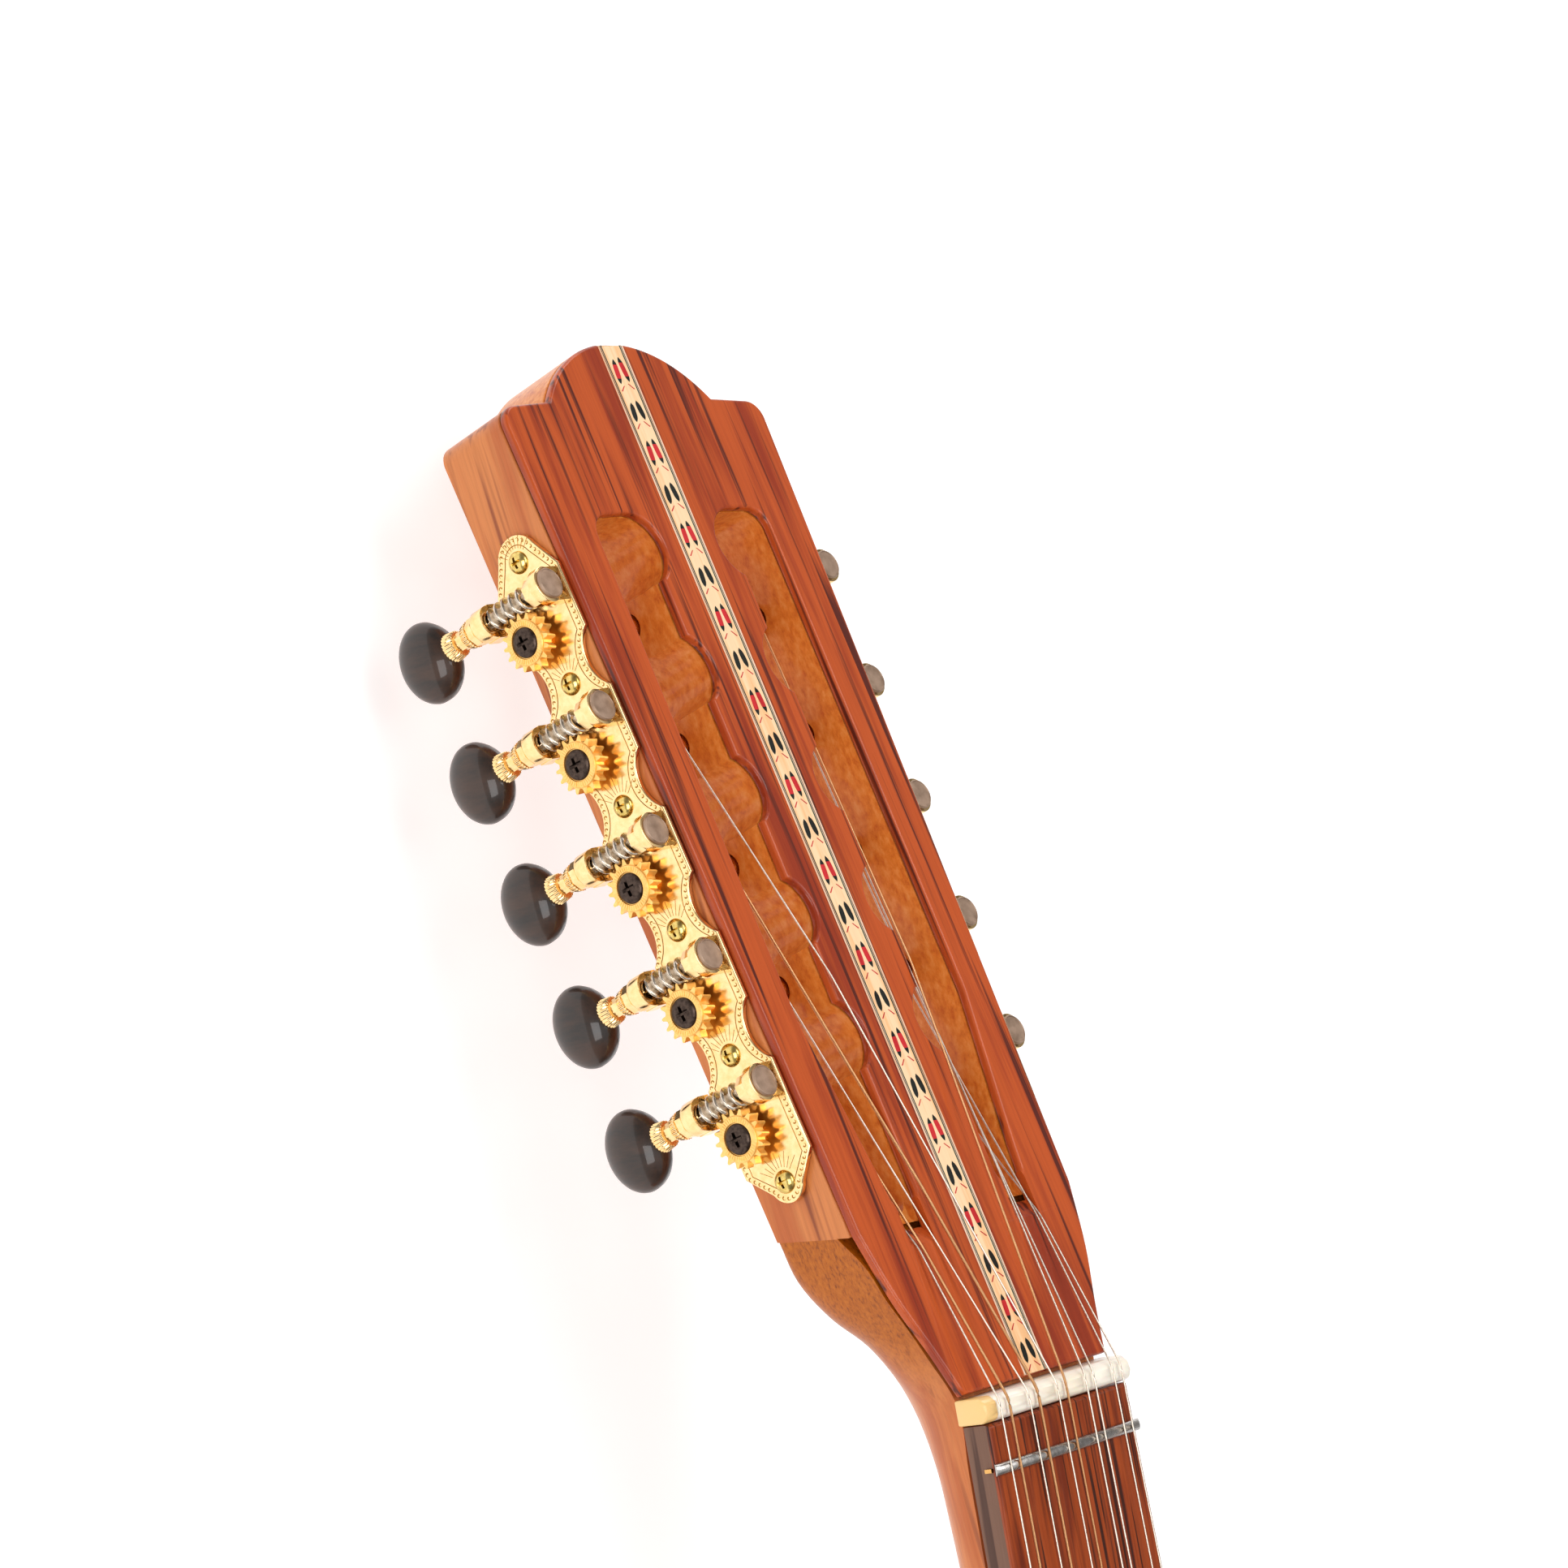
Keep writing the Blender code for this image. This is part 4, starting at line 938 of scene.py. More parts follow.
def fret_tree():
    """Frets by the scale rule: each one stands where the string is 2 to the -n/12 of its length."""
    tree, given = new_tree("frets", Count="Int", Scale_length="Float", Widening="Float")
    row = add_node(tree, "GeometryNodeMeshLine", {"Count": given["Count"], "Offset": (0, 0, 0)})
    index = add_node(tree, "GeometryNodeInputIndex")
    number = add_node(tree, "ShaderNodeMath", {0: index.outputs["Index"], 1: 1.0}, operation="ADD")
    power = add_node(tree, "ShaderNodeMath", {0: number.outputs[0], 1: -12.0}, operation="DIVIDE")
    left = add_node(tree, "ShaderNodeMath", {0: 2.0, 1: power.outputs[0]}, operation="POWER")
    share = add_node(tree, "ShaderNodeMath", {0: left.outputs[0], 1: 1.0}, operation="SUBTRACT")
    along = add_node(tree, "ShaderNodeMath", {0: share.outputs[0], 1: given["Scale length"]},
                     operation="MULTIPLY")
    place = add_node(tree, "ShaderNodeCombineXYZ", {"Y": along.outputs[0]})
    moved = add_node(tree, "GeometryNodeSetPosition", {"Geometry": row.outputs["Mesh"],
                                                       "Position": place.outputs["Vector"]})
    grown_share = add_node(tree, "ShaderNodeMath", {0: along.outputs[0], 1: given["Widening"], 2: 1.0},
                           operation="MULTIPLY_ADD")
    size = add_node(tree, "ShaderNodeCombineXYZ", {"X": grown_share.outputs[0], "Y": 1.0, "Z": 1.0})
    copies = add_node(tree, "GeometryNodeInstanceOnPoints",
                      {"Points": moved.outputs["Geometry"], "Instance": given["Mesh"],
                       "Scale": size.outputs["Vector"]})
    return end_tree(tree, given, copies.outputs["Instances"])


def fret_wire(half, lean=0.0006):
    """One fret, its ends filed at a slant."""
    rings = []
    for x, shrink in ((-half, 0.35), (lean - half, 1.0), (half - lean, 1.0), (half, 0.35)):
        rings.append([Vector((x, y, z * shrink)) for y, z in fret_profile()])
    return loft(rings)


widening = -(BOARD_HALF_END / BOARD_HALF_NUT - 1) / (ZERO_FRET_Y - FRETBOARD_LOW.y)
frets = grown(fret_tree(), fret_wire(BOARD_HALF_NUT - 0.0002), fret_metal,
              Matrix.Translation((0, ZERO_FRET_Y, BOARD_TOP)), Count=LAST_FRET, Scale_length=SCALE,
              Widening=widening)
hand_over(add_piece("frets", frets, fret_metal), "root", "fret_metal")


def pearl():
    made, tree, shader = new_finish("pearl_dot", Roughness=0.15, Coat_Weight=0.8)
    swirl = object_noise(tree, (1, 1, 1), 700, 4.0, 0.7)
    tree.links.new(colour_ramp(tree, swirl, (0.35, paint(214, 226, 218)), (0.5, paint(246, 240, 230)),
                               (0.65, paint(230, 214, 224))), shader.inputs["Base Color"])
    return made


def fret_y(number):
    return ZERO_FRET_Y - SCALE * (1 - 2 ** (-number / 12))


pearl_dot = pearl()
dots = []
for number, xs in ((3, (0,)), (5, (0,)), (7, (0,)), (10, (0,)), (12, (-0.010, 0.010)), (15, (0,))):
    middle = (fret_y(number) + fret_y(number - 1)) / 2
    for x in xs:
        dots.append(turned_round([(0, 0.0026), (TOP_SKIN / 2, 0.0026)], 28,
                                 Matrix.Translation((x, middle, BOARD_TOP))))
hand_over(add_piece("fretboard_dots", join_meshes(dots), pearl_dot), "root", "inlay")

# Zero fret and nut
# A taller steel fret stands just in front of the nut and sets the height of the open strings. The nut is a
# polished white bone block with a groove for each string, so it only spaces them.

zero_low, zero_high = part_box("zero_fret")
zero_steel = drawn_metal("zero_fret_steel", paint(196, 192, 188), paint(160, 154, 148), 0.24)
zero_wire = fret_wire(zero_high.x, 0.0009)
zero_wire.transform(Matrix.Translation((0, ZERO_FRET_Y, zero_low.z)))
hand_over(add_piece("zero_fret", zero_wire, zero_steel), "root", "fret_metal", "zero_fret")
tang_brass = drawn_metal("tang_brass", paint(232, 180, 110), paint(196, 140, 76), 0.25)
tang_edge = half_board(ZERO_FRET_Y)
tangs = [box_mesh(min(s * tang_edge, s * (tang_edge + 0.0007)), max(s * tang_edge, s * (tang_edge + 0.0007)),
                  ZERO_FRET_Y - 0.00035, ZERO_FRET_Y + 0.00035, BOARD_TOP - 0.0019, BOARD_TOP - 0.0004)
         for s in (-1, 1)]
hand_over(add_piece("zero_fret_tang", join_meshes(tangs), tang_brass), "root", "fret_metal")

COURSES = 5
COURSE_STEP_NUT = 0.0090
COURSE_STEP_SADDLE = 0.0120
PAIR_HALF = 0.00135
AGED_END = 0.0036
STRING_RADII = (0.00018, 0.00027, 0.00018, 0.0003, 0.00018, 0.00024, 0.0002, 0.0002, 0.00018, 0.00018)


def string_x(number, step):
    course, second = divmod(number, 2)
    return (course - (COURSES - 1) / 2) * step + PAIR_HALF * (2 * second - 1)


def bone_finish():
    """Polished bone, white except for its yellowed left end."""
    made, tree, shader = new_finish("nut_bone", Coat_Weight=0.35, Coat_Roughness=0.15,
                                    Subsurface_Weight=0.12, Subsurface_Scale=0.002)
    cloud = object_noise(tree, (0.4, 1, 1), 160, 2.0, 0.5)
    white = colour_ramp(tree, cloud, (0.3, paint(249, 236, 214)), (0.7, paint(254, 247, 234)))
    where = add_node(tree, "ShaderNodeTexCoord")
    place = add_node(tree, "ShaderNodeSeparateXYZ", {"Vector": where.outputs["Object"]})
    aged = add_node(tree, "ShaderNodeMath", {0: place.outputs["X"], 1: NUT_LOW.x + AGED_END},
                    operation="LESS_THAN")
    tone = add_node(tree, "ShaderNodeMix", {0: aged.outputs[0], 6: white, 7: paint(240, 200, 130)},
                    data_type="RGBA")
    tree.links.new(tone.outputs[2], shader.inputs["Base Color"])
    tree.links.new(add_node(tree, "ShaderNodeMapRange", {"Value": cloud, "To Min": 0.25, "To Max": 0.42}
                            ).outputs["Result"], shader.inputs["Roughness"])
    add_bump(tree, shader, cloud, 0.03, 0.0001)
    return made


def rounded(mesh, width, segments=3):
    """Rounds every crisp edge of a mesh."""
    holder = bpy.data.objects.new("holder", mesh)
    bpy.context.scene.collection.objects.link(holder)
    modifier = holder.modifiers.new("round", "BEVEL")
    modifier.width = width
    modifier.segments = segments
    modifier.limit_method = "ANGLE"
    modifier.angle_limit = math.radians(35)
    modifier.harden_normals = True
    made = evaluated_mesh(holder)
    bpy.data.objects.remove(holder)
    return made


bone_white = bone_finish()
nut_profile = [(NUT_LOW.y, NUT_LOW.z), (NUT_HIGH.y, NUT_LOW.z), (NUT_HIGH.y, NUT_HIGH.z - 0.0016),
               (NUT_HIGH.y - 0.0012, NUT_HIGH.z - 0.0003), (NUT_LOW.y + 0.0018, NUT_HIGH.z),
               (NUT_LOW.y + 0.0004, NUT_HIGH.z - 0.0006), (NUT_LOW.y, NUT_HIGH.z - 0.0016)]
nut = add_piece("nut", rounded(loft([[Vector((x, y, z)) for y, z in nut_profile]
                                     for x in (NUT_LOW.x, NUT_HIGH.x)]), 0.0004), bone_white)
nut_grooves = []
for number, radius in enumerate(STRING_RADII):
    groove_place = Matrix.Translation((string_x(number, COURSE_STEP_NUT), NUT_LOW.y, NUT_HIGH.z + radius))
    nut_grooves.append(turned_round([(-0.01, radius + SEAM), (0.002, radius + SEAM)], 12,
                                    groove_place @ Matrix.Rotation(math.radians(90), 4, "X")))
carved(nut, *nut_grooves)
hand_over(nut, "root", "bone", "nut")

# Bridge and saddle
# A long low bridge of dark hardwood stands on the soundboard between two thin arms. A bone saddle in its
# groove carries the strings.

bridge_wood = wood("bridge_rosewood", paint(104, 50, 34), paint(72, 32, 24), paint(44, 20, 16), 0.4)


def copied(name):
    """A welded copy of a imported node's mesh, its flat triangles joined."""
    mesh = tidy_mesh(frame["nodes"][name].data.copy())
    bm = bmesh.new()
    bm.from_mesh(mesh)
    bmesh.ops.dissolve_limit(bm, angle_limit=math.radians(1), verts=bm.verts, edges=bm.edges)
    bm.to_mesh(mesh)
    bm.free()
    return mesh


bridge = add_piece("bridge", rounded(copied("bridge"), 0.0006), bridge_wood)
hand_over(bridge, "root", "dark_wood", "bridge")
saddle = add_piece("saddle", rounded(copied("saddle"), 0.0003), bone_white)
hand_over(saddle, "root", "bone", "saddle")

# Tailpiece and end pin
# A bent gold-plated plate hooks over the tail of the body and takes the looped or balled string ends behind
# its raised front bar. A turned black pin holds it and takes a strap.

gold_plate = drawn_metal("gold_plate", (1.0, 0.74, 0.38, 1), (0.96, 0.62, 0.26, 1), 0.16, 700)
tailpiece = add_piece("tailpiece", rounded(copied("tailpiece"), 0.0005), gold_plate)
hand_over(tailpiece, "root", "gold_metal", "tailpiece")


def satin_black(name, tone, edge, scale):
    """Moulded plastic that looks like polished ebony: nearly black, with faint brown streaks."""
    made, tree, shader = new_finish(name, Coat_Weight=0.6, Coat_Roughness=0.07, Specular_IOR_Level=0.3)
    streak = object_noise(tree, (1, 1, 0.25), scale, 4.0, 0.6)
    tree.links.new(colour_ramp(tree, streak, (0.35, tone), (0.65, edge)), shader.inputs["Base Color"])
    tree.links.new(add_node(tree, "ShaderNodeMapRange", {"Value": streak, "To Min": 0.34, "To Max": 0.5}
                            ).outputs["Result"], shader.inputs["Roughness"])
    add_bump(tree, shader, object_noise(tree, (1, 1, 1), 4000, 2.0), 0.03, 0.00005)
    return made


button_black = satin_black("button_black", paint(34, 25, 20), paint(62, 40, 28), 300)
pin_root = Matrix.Translation((0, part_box("tailpiece")[0].y, PIN_Z))
pin_place = pin_root @ Matrix.Rotation(math.radians(90), 4, "X")
pin_profile = [(-0.017, 0.0030), (-0.016, 0.0035), (0.0003, 0.004), (0.0006, 0.0070), (0.0012, 0.0077),
               (0.003, 0.0078), (0.0045, 0.0060), (0.006, 0.0050), (0.0078, 0.0056), (0.010, 0.0072),
               (0.0118, 0.0073), (0.0128, 0.0064), (0.0134, 0.0044), (0.0135, 0.0020)]
end_pin = add_piece("end_pin", turned_round([tuple(p) for p in eased(pin_profile, 3)], 48, pin_place),
                    button_black)
hand_over(end_pin, "root", "button_plastic", "end_pin")

# Machine plates
# Each side has one long plate of stamped brass, gold-plated, with a scalloped edge, a border of punched
# crescents inside a fine line, and two bearing blocks for each worm. Six round-head screws hold it.

PLATE_TOP = -0.0006
PLATE_METAL = 0.0012
SCREW_FROM_POST = 0.0147
PLATE_MIDDLE = 0.0030
PLATE_HALF = 0.0083
WAIST_DEPTH = 0.0028
STRAIGHT_LOW = -0.0022
STRAIGHT_HIGH = 0.0108
LAST_STRAIGHT = -0.0068
END_R = 0.0052
NUT_END_R = 0.0040
WORM_OFFSET = 0.0072
WORM_OUT = 0.0023
FRONT_BLOCK = (0.0078, 0.0098)
FRONT_BOSS = (0.0053, 0.0078)
REAR_BLOCK = (-0.0087, -0.0057)
SIDES = (("left", -1), ("right", 1))


def plate_edge():
    """One long edge of a plate, as (tip, reach from the middle line), scooped between the tuners."""
    points = []
    chord = TUNER_STEP - (STRAIGHT_HIGH - STRAIGHT_LOW)
    radius = chord ** 2 / (8 * WAIST_DEPTH) + WAIST_DEPTH / 2
    spread = math.degrees(math.asin(chord / (2 * radius)))
    for index in range(TUNERS):
        low = -TUNER_STEP * index + (STRAIGHT_LOW if index < TUNERS - 1 else LAST_STRAIGHT)
        points.append((-TUNER_STEP * index + STRAIGHT_HIGH, PLATE_HALF))
        points.append((low, PLATE_HALF))
        if index < TUNERS - 1:
            scoop = arc(low - chord / 2, PLATE_HALF - WAIST_DEPTH + radius, radius, 270 + spread,
                        270 - spread, 14)
            points += scoop[1:-1]
    return points


def plate_outline(inset=0.0):
    """The closed outline of a plate, (tip, front), from the tip round; its ends are round."""
    top_screw = SCREW_FROM_POST
    last_screw = SCREW_FROM_POST - TUNER_STEP * TUNERS
    edge = [(tip, reach - inset) for tip, reach in plate_edge()]
    top_end = arc(top_screw, 0, END_R - inset, 70, -70, 14)
    low_end = arc(last_screw, 0, NUT_END_R - inset, 250, 110, 14)
    shape = top_end + [(tip, -reach) for tip, reach in edge] + low_end + edge[::-1]
    return [(tip, PLATE_MIDDLE + reach) for tip, reach in shape]


def outward_slab(outlines, low, high, place, rounding=0.0, rounds=2):
    """A slab given by (tip, front) outlines that lies against the side of the headstock."""
    swap = Matrix(((0, 0, 1, 0), (1, 0, 0, 0), (0, 1, 0, 0), (0, 0, 0, 1)))
    return slab(outlines, low, high, rounding, place @ swap, rounds)


def bearing(z_range, radius, sides, phase, place, bore=0.0019):
    """A bearing block, or a boss with flat sides, bored for the worm's shaft and footed on the plate."""
    ring = [(WORM_OUT + radius * math.sin(a), WORM_OFFSET + radius * math.cos(a))
            for a in (phase + 2 * math.pi * k / sides for k in range(sides))]
    hole = [(WORM_OUT + x, WORM_OFFSET + y) for x, y in ring_points(bore, 24)]
    return slab([ring, hole], z_range[0], z_range[1], 0.00015, place, 1)


def block_foot(z_range, place):
    """The flat cheeks that carry a barrel-shaped block on the plate."""
    half = 0.0034
    return [box_mesh(PLATE_TOP - 0.0003, WORM_OUT, WORM_OFFSET + a, WORM_OFFSET + b, z_range[0], z_range[1],
                     place) for a, b in ((-half, -0.0021), (0.0021, half))]


engraved_gold = drawn_metal("engraved_gold", (0.50, 0.24, 0.05, 1), (0.30, 0.13, 0.03, 1), 0.4, 1500)


def edge_tree():
    """Copies of one object at even steps along the given closed line, each turned along it."""
    tree, given = new_tree("copies_along_an_edge", Stamp="Object", Pitch="Float")
    line = add_node(tree, "GeometryNodeMeshToCurve", {"Mesh": given["Mesh"]})
    even = add_node(tree, "GeometryNodeResampleCurve", {"Curve": line.outputs["Curve"],
                                                        "Length": given["Pitch"]}, mode="LENGTH")
    along = add_node(tree, "GeometryNodeInputTangent")
    turn = add_node(tree, "FunctionNodeAlignRotationToVector", {"Vector": along.outputs["Tangent"]},
                    axis="X", pivot_axis="Z")
    stamp = add_node(tree, "GeometryNodeObjectInfo", {"Object": given["Stamp"]})
    copies = add_node(tree, "GeometryNodeInstanceOnPoints",
                      {"Points": even.outputs["Curve"], "Instance": stamp.outputs["Geometry"],
                       "Rotation": turn.outputs["Rotation"]})
    return end_tree(tree, given, copies.outputs["Instances"])


def line_mesh(outline):
    mesh = bpy.data.meshes.new("line")
    count = len(outline)
    mesh.from_pydata([(x, y, 0) for x, y in outline], [(k, (k + 1) % count) for k in range(count)], [])
    return mesh


def wire_ring(outline, radius, place):
    """A fine closed wire along an outline."""
    curve = bpy.data.curves.new("wire", "CURVE")
    curve.dimensions = "3D"
    curve.bevel_depth = radius
    curve.bevel_resolution = 1
    spline = curve.splines.new("POLY")
    spline.points.add(len(outline) - 1)
    spline.use_cyclic_u = True
    for point, (x, y) in zip(spline.points, outline):
        point.co = (x, y, 0, 1)
    holder = bpy.data.objects.new("wire", curve)
    bpy.context.scene.collection.objects.link(holder)
    mesh = evaluated_mesh(holder)
    bpy.data.objects.remove(holder)
    mesh.transform(place)
    return tidy_mesh(mesh)


def crescent():
    """One punched crescent, 0.8 mm across."""
    outer = arc(0, 0, 0.00040, 20, 250, 10)
    inner = arc(0.00010, 0.00003, 0.00024, 250, 20, 10)
    return slab([outer + inner], 0, 0.00004)


def fan_of_rays():
    """Fine rays cut round the tip side of a screw."""
    rays = []
    for k in range(9):
        turn = Matrix.Rotation(math.radians(-52 + 13 * k), 4, "Z")
        long = 0.0022 if k % 2 else 0.0030
        rays.append(box_mesh(0.0027, 0.0027 + long, -0.00005, 0.00005, 0, 0.00003, turn))
    return join_meshes(rays)


def screw_head(radius, height, place):
    """A domed screw head with a cross recess."""
    stations = [(-0.0001, radius)] + [(height * math.sin(a), radius * math.cos(a))
                                      for a in (math.radians(12 * k) for k in range(8))]
    head = bpy.data.objects.new("head", turned_round(stations, 40))
    head.data.materials.append(gold_plate)
    bpy.context.scene.collection.objects.link(head)
    arm, wide = radius * 0.56, radius * 0.13
    cutters = []
    corners = ((-1, -1), (1, -1), (1, 1), (-1, 1))
    for a, b in ((arm, wide), (wide, arm)):
        cutters.append(loft([[Vector((x * s * a, y * s * b, z)) for x, y in corners]
                             for z, s in ((height * 0.15, 0.55), (height * 1.3, 1.15))]))
    carved(head, *cutters)
    mesh = head.data
    bpy.data.objects.remove(head)
    mesh.transform(place)
    return mesh


EDGES = edge_tree()
stamp = bpy.data.objects.new("crescent_stamp", crescent())
bpy.context.scene.collection.objects.link(stamp)
screw_gold = drawn_metal("screw_gold", (0.80, 0.60, 0.20, 1), (0.55, 0.38, 0.10, 1), 0.18, 1200)
FLAT_ON_SIDE = Matrix(((0, 0, 1, 0), (1, 0, 0, 0), (0, 1, 0, 0), (0, 0, 0, 1)))
for name, side in SIDES:
    first = machine_place(side, 0)
    plate = add_piece("machine_plate_" + name,
                      outward_slab([plate_outline()], PLATE_TOP - PLATE_METAL, PLATE_TOP, first, 0.0003),
                      gold_plate)
    level_shading(plate)
    hand_over(plate, "root", "gold_metal", "machine_plate_" + name)
    parts = []
    for index in range(TUNERS):
        here = machine_place(side, index)
        parts += [bearing(FRONT_BLOCK, 0.0036, 32, 0, here), bearing(REAR_BLOCK, 0.0033, 32, 0, here),
                  bearing(FRONT_BOSS, 0.0029, 8, math.radians(22.5), here)]
        parts += block_foot(FRONT_BLOCK, here) + block_foot(REAR_BLOCK, here)
    blocks = add_piece("bearing_blocks_" + name, join_meshes(parts), gold_plate)
    hand_over(blocks, "root", "gold_metal")
    surface = first @ FLAT_ON_SIDE @ Matrix.Translation((0, 0, PLATE_TOP))
    border = grown(EDGES, line_mesh(plate_outline(0.0009)), engraved_gold, surface, Stamp=stamp,
                   Pitch=0.00115)
    line = wire_ring(plate_outline(0.0019), 0.00010, surface)
    first_screw = surface @ Matrix.Translation((SCREW_FROM_POST, PLATE_MIDDLE, 0))
    rays = grown(ROWS, fan_of_rays(), engraved_gold, first_screw,
                 Count=TUNERS + 1, Step=(-TUNER_STEP, 0.0, 0.0))
    engraving = add_piece("engraving_" + name, join_meshes([border, line, rays]), engraved_gold)
    hand_over(engraving, "root", "gold_metal")
    screw = screw_head(0.0022, 0.0012, Matrix.Identity(4))
    run = first @ Matrix.Translation((PLATE_TOP, SCREW_FROM_POST, PLATE_MIDDLE)) @ OUTWARDS
    screws = grown(ROWS, screw, screw_gold, run, Count=TUNERS + 1, Step=(0.0, -TUNER_STEP, 0.0))
    hand_over(add_piece("plate_screws_" + name, screws, screw_gold), "root", "gold_metal")
bpy.data.objects.remove(stamp)

# Worms
# A nickel-plated steel worm turns in the two blocks of each machine. A grey steel cap closes its front end,
# and behind the rear block it carries a gold collar with flat sides and two knurled gold rings.

WORM_LEAD = 0.002
WORM_CREST_R = 0.00255
WORM_ROOT_R = 0.00150
WORM_HALF = 0.0050
worm_nickel = drawn_metal("worm_nickel", paint(226, 214, 198), paint(176, 160, 140), 0.2, 900)
cap_steel = drawn_metal("cap_steel", paint(186, 160, 140), paint(160, 134, 114), 0.55, 500)


def worm_skin():
    """The thread as a grid that winds with it, from (share of the lead, radius) stations."""
    columns = 40
    thread = ((-0.30, 0.0), (-0.20, 0.45), (-0.12, 0.9), (-0.05, 1.0), (0.05, 1.0), (0.12, 0.9), (0.20, 0.45),
              (0.30, 0.0))
    leads = 8
    bm = bmesh.new()
    grid = []
    for i in range(columns):
        angle = math.pi + 2 * math.pi * i / columns
        column = []
        for turn in range(leads + 1):
            for share, rise in thread:
                z = WORM_LEAD * (turn - 4 + i / columns + share)
                rise *= max(0.0, min(1.0, (WORM_HALF + 0.0002 - abs(z)) / 0.0006))
                z = max(-WORM_HALF, min(WORM_HALF, z))
                radius = WORM_ROOT_R + (WORM_CREST_R - WORM_ROOT_R) * rise
                column.append(bm.verts.new((WORM_OUT + radius * math.sin(angle),
                                            WORM_OFFSET + radius * math.cos(angle), z)))
        grid.append(column)
    rows = len(thread)
    for i in range(columns):
        low = grid[i]
        high = grid[(i + 1) % columns]
        shift = rows if i == columns - 1 else 0
        for j in range(len(low) - shift - 1):
            bm.faces.new((low[j], high[j + shift], high[j + shift + 1], low[j + 1]))
    mesh = bpy.data.meshes.new("worm")
    bm.to_mesh(mesh)
    bm.free()
    return mesh


def shaft_piece(stations, count=40, phase=0.0):
    """A turned part on the worm's axis, in the machine's axes."""
    axis = Matrix.Translation((WORM_OUT, WORM_OFFSET, 0)) @ Matrix.Rotation(phase, 4, "Z")
    return turned_round(stations, count, axis)


def knurled(z0, z1, radius0, radius1, ribs=26):
    """A knurled ring: a grooved cylinder whose ribs run along the shaft."""
    rings = []
    for z, radius in ((z0, radius0 - 0.0003), (z0 + 0.0002, radius0), (z1 - 0.0002, radius1),
                      (z1, radius1 - 0.0003)):
        ring = []
        for k in range(ribs * 4):
            deep = 0.00016 if k % 4 < 2 else 0.0
            angle = 2 * math.pi * k / (ribs * 4)
            ring.append(Vector((WORM_OUT + (radius - deep) * math.cos(angle),
                                WORM_OFFSET + (radius - deep) * math.sin(angle), z)))
        rings.append(ring)
    return loft(rings, smooth_angle=25)


def octagon(z0, z1, radius):
    """A collar with eight flats and chamfered ends."""
    stations = [(z0, radius - 0.0003), (z0 + 0.0003, radius), (z1 - 0.0003, radius), (z1, radius - 0.0003)]
    return shaft_piece(stations, 8, math.radians(22.5))


def placed(mesh, place):
    copy = mesh.copy()
    copy.transform(place)
    return tidy_mesh(copy)


worm_thread = join_meshes([worm_skin(), shaft_piece([(-0.0090, 0.00150), (-WORM_HALF, 0.0015)]),
                           shaft_piece([(WORM_HALF, 0.0015), (0.0099, 0.0015)])])
worm_cap = shaft_piece([(0.00985, 0.0030), (0.0103, 0.0030), (0.0105, 0.00285), (0.01052, 0.0027),
                        (0.01042, 0.00262), (0.01042, 0.0005)], 56)
worm_collars = join_meshes([octagon(-0.0109, -0.0089, 0.0029), knurled(-0.0128, -0.0109, 0.0024, 0.0028),
                            octagon(-0.0149, -0.0128, 0.0019), knurled(-0.0174, -0.0149, 0.0029, 0.0026)])
for name, side in SIDES:
    for index in range(TUNERS):
        here = machine_place(side, index)
        label = "%s_%d" % (name, index + 1)
        worm = add_piece("worm_" + label, placed(worm_thread, here), worm_nickel)
        hand_over(worm, "worm_" + label, "worm_metal", "worm_" + label)
        cap = add_piece("worm_cap_" + label, placed(worm_cap, here), cap_steel)
        hand_over(cap, "worm_" + label, "worm_metal")
        collars = add_piece("worm_collars_" + label, placed(worm_collars, here), gold_plate)
        hand_over(collars, "worm_" + label, "gold_metal")

# Buttons
# An oval knob of black moulded plastic, made to look like ebony, is pressed on the end of each shaft. Its
# outward face is a smooth dome with a crisp ridge round it, and its back is rounder and smaller.

BUTTON_Z = -0.02375
BUTTON_HALF_TIP = 0.0080
BUTTON_HALF_FRONT = 0.0066
BUTTON_DOME = 0.0044
BUTTON_BACK = 0.0043
BUTTON_RIDGE = -0.0004


def button_mesh():
    """Oval rings from the top of the dome over the ridge to the flat back."""
    rings = []
    count = 64
    stations = [(0.04, 1.0)] + [(math.sin(a), math.cos(a) ** 0.9) for a in
                                (math.radians(9 * k) for k in range(1, 10))]
    for share, rise in stations + [(1.0, 0.0)]:
        rings.append((share, BUTTON_RIDGE + BUTTON_DOME * rise))
    for k in range(1, 9):
        angle = math.radians(10 * k)
        rings.append((0.985 * math.cos(angle) ** 0.55, BUTTON_RIDGE - BUTTON_BACK * math.sin(angle)))
    made = []
    for share, out in rings:
        made.append([Vector((WORM_OUT + out, WORM_OFFSET + share * BUTTON_HALF_TIP * math.cos(a),
                             BUTTON_Z + share * BUTTON_HALF_FRONT * math.sin(a)))
                     for a in (2 * math.pi * k / count for k in range(count))])
    return loft(made, smooth_angle=32)


button = button_mesh()
for name, side in SIDES:
    for index in range(TUNERS):
        label = "%s_%d" % (name, index + 1)
        knob = add_piece("button_" + label, placed(button, machine_place(side, index)), button_black)
        hand_over(knob, "worm_" + label, "button_plastic", "button_" + label)
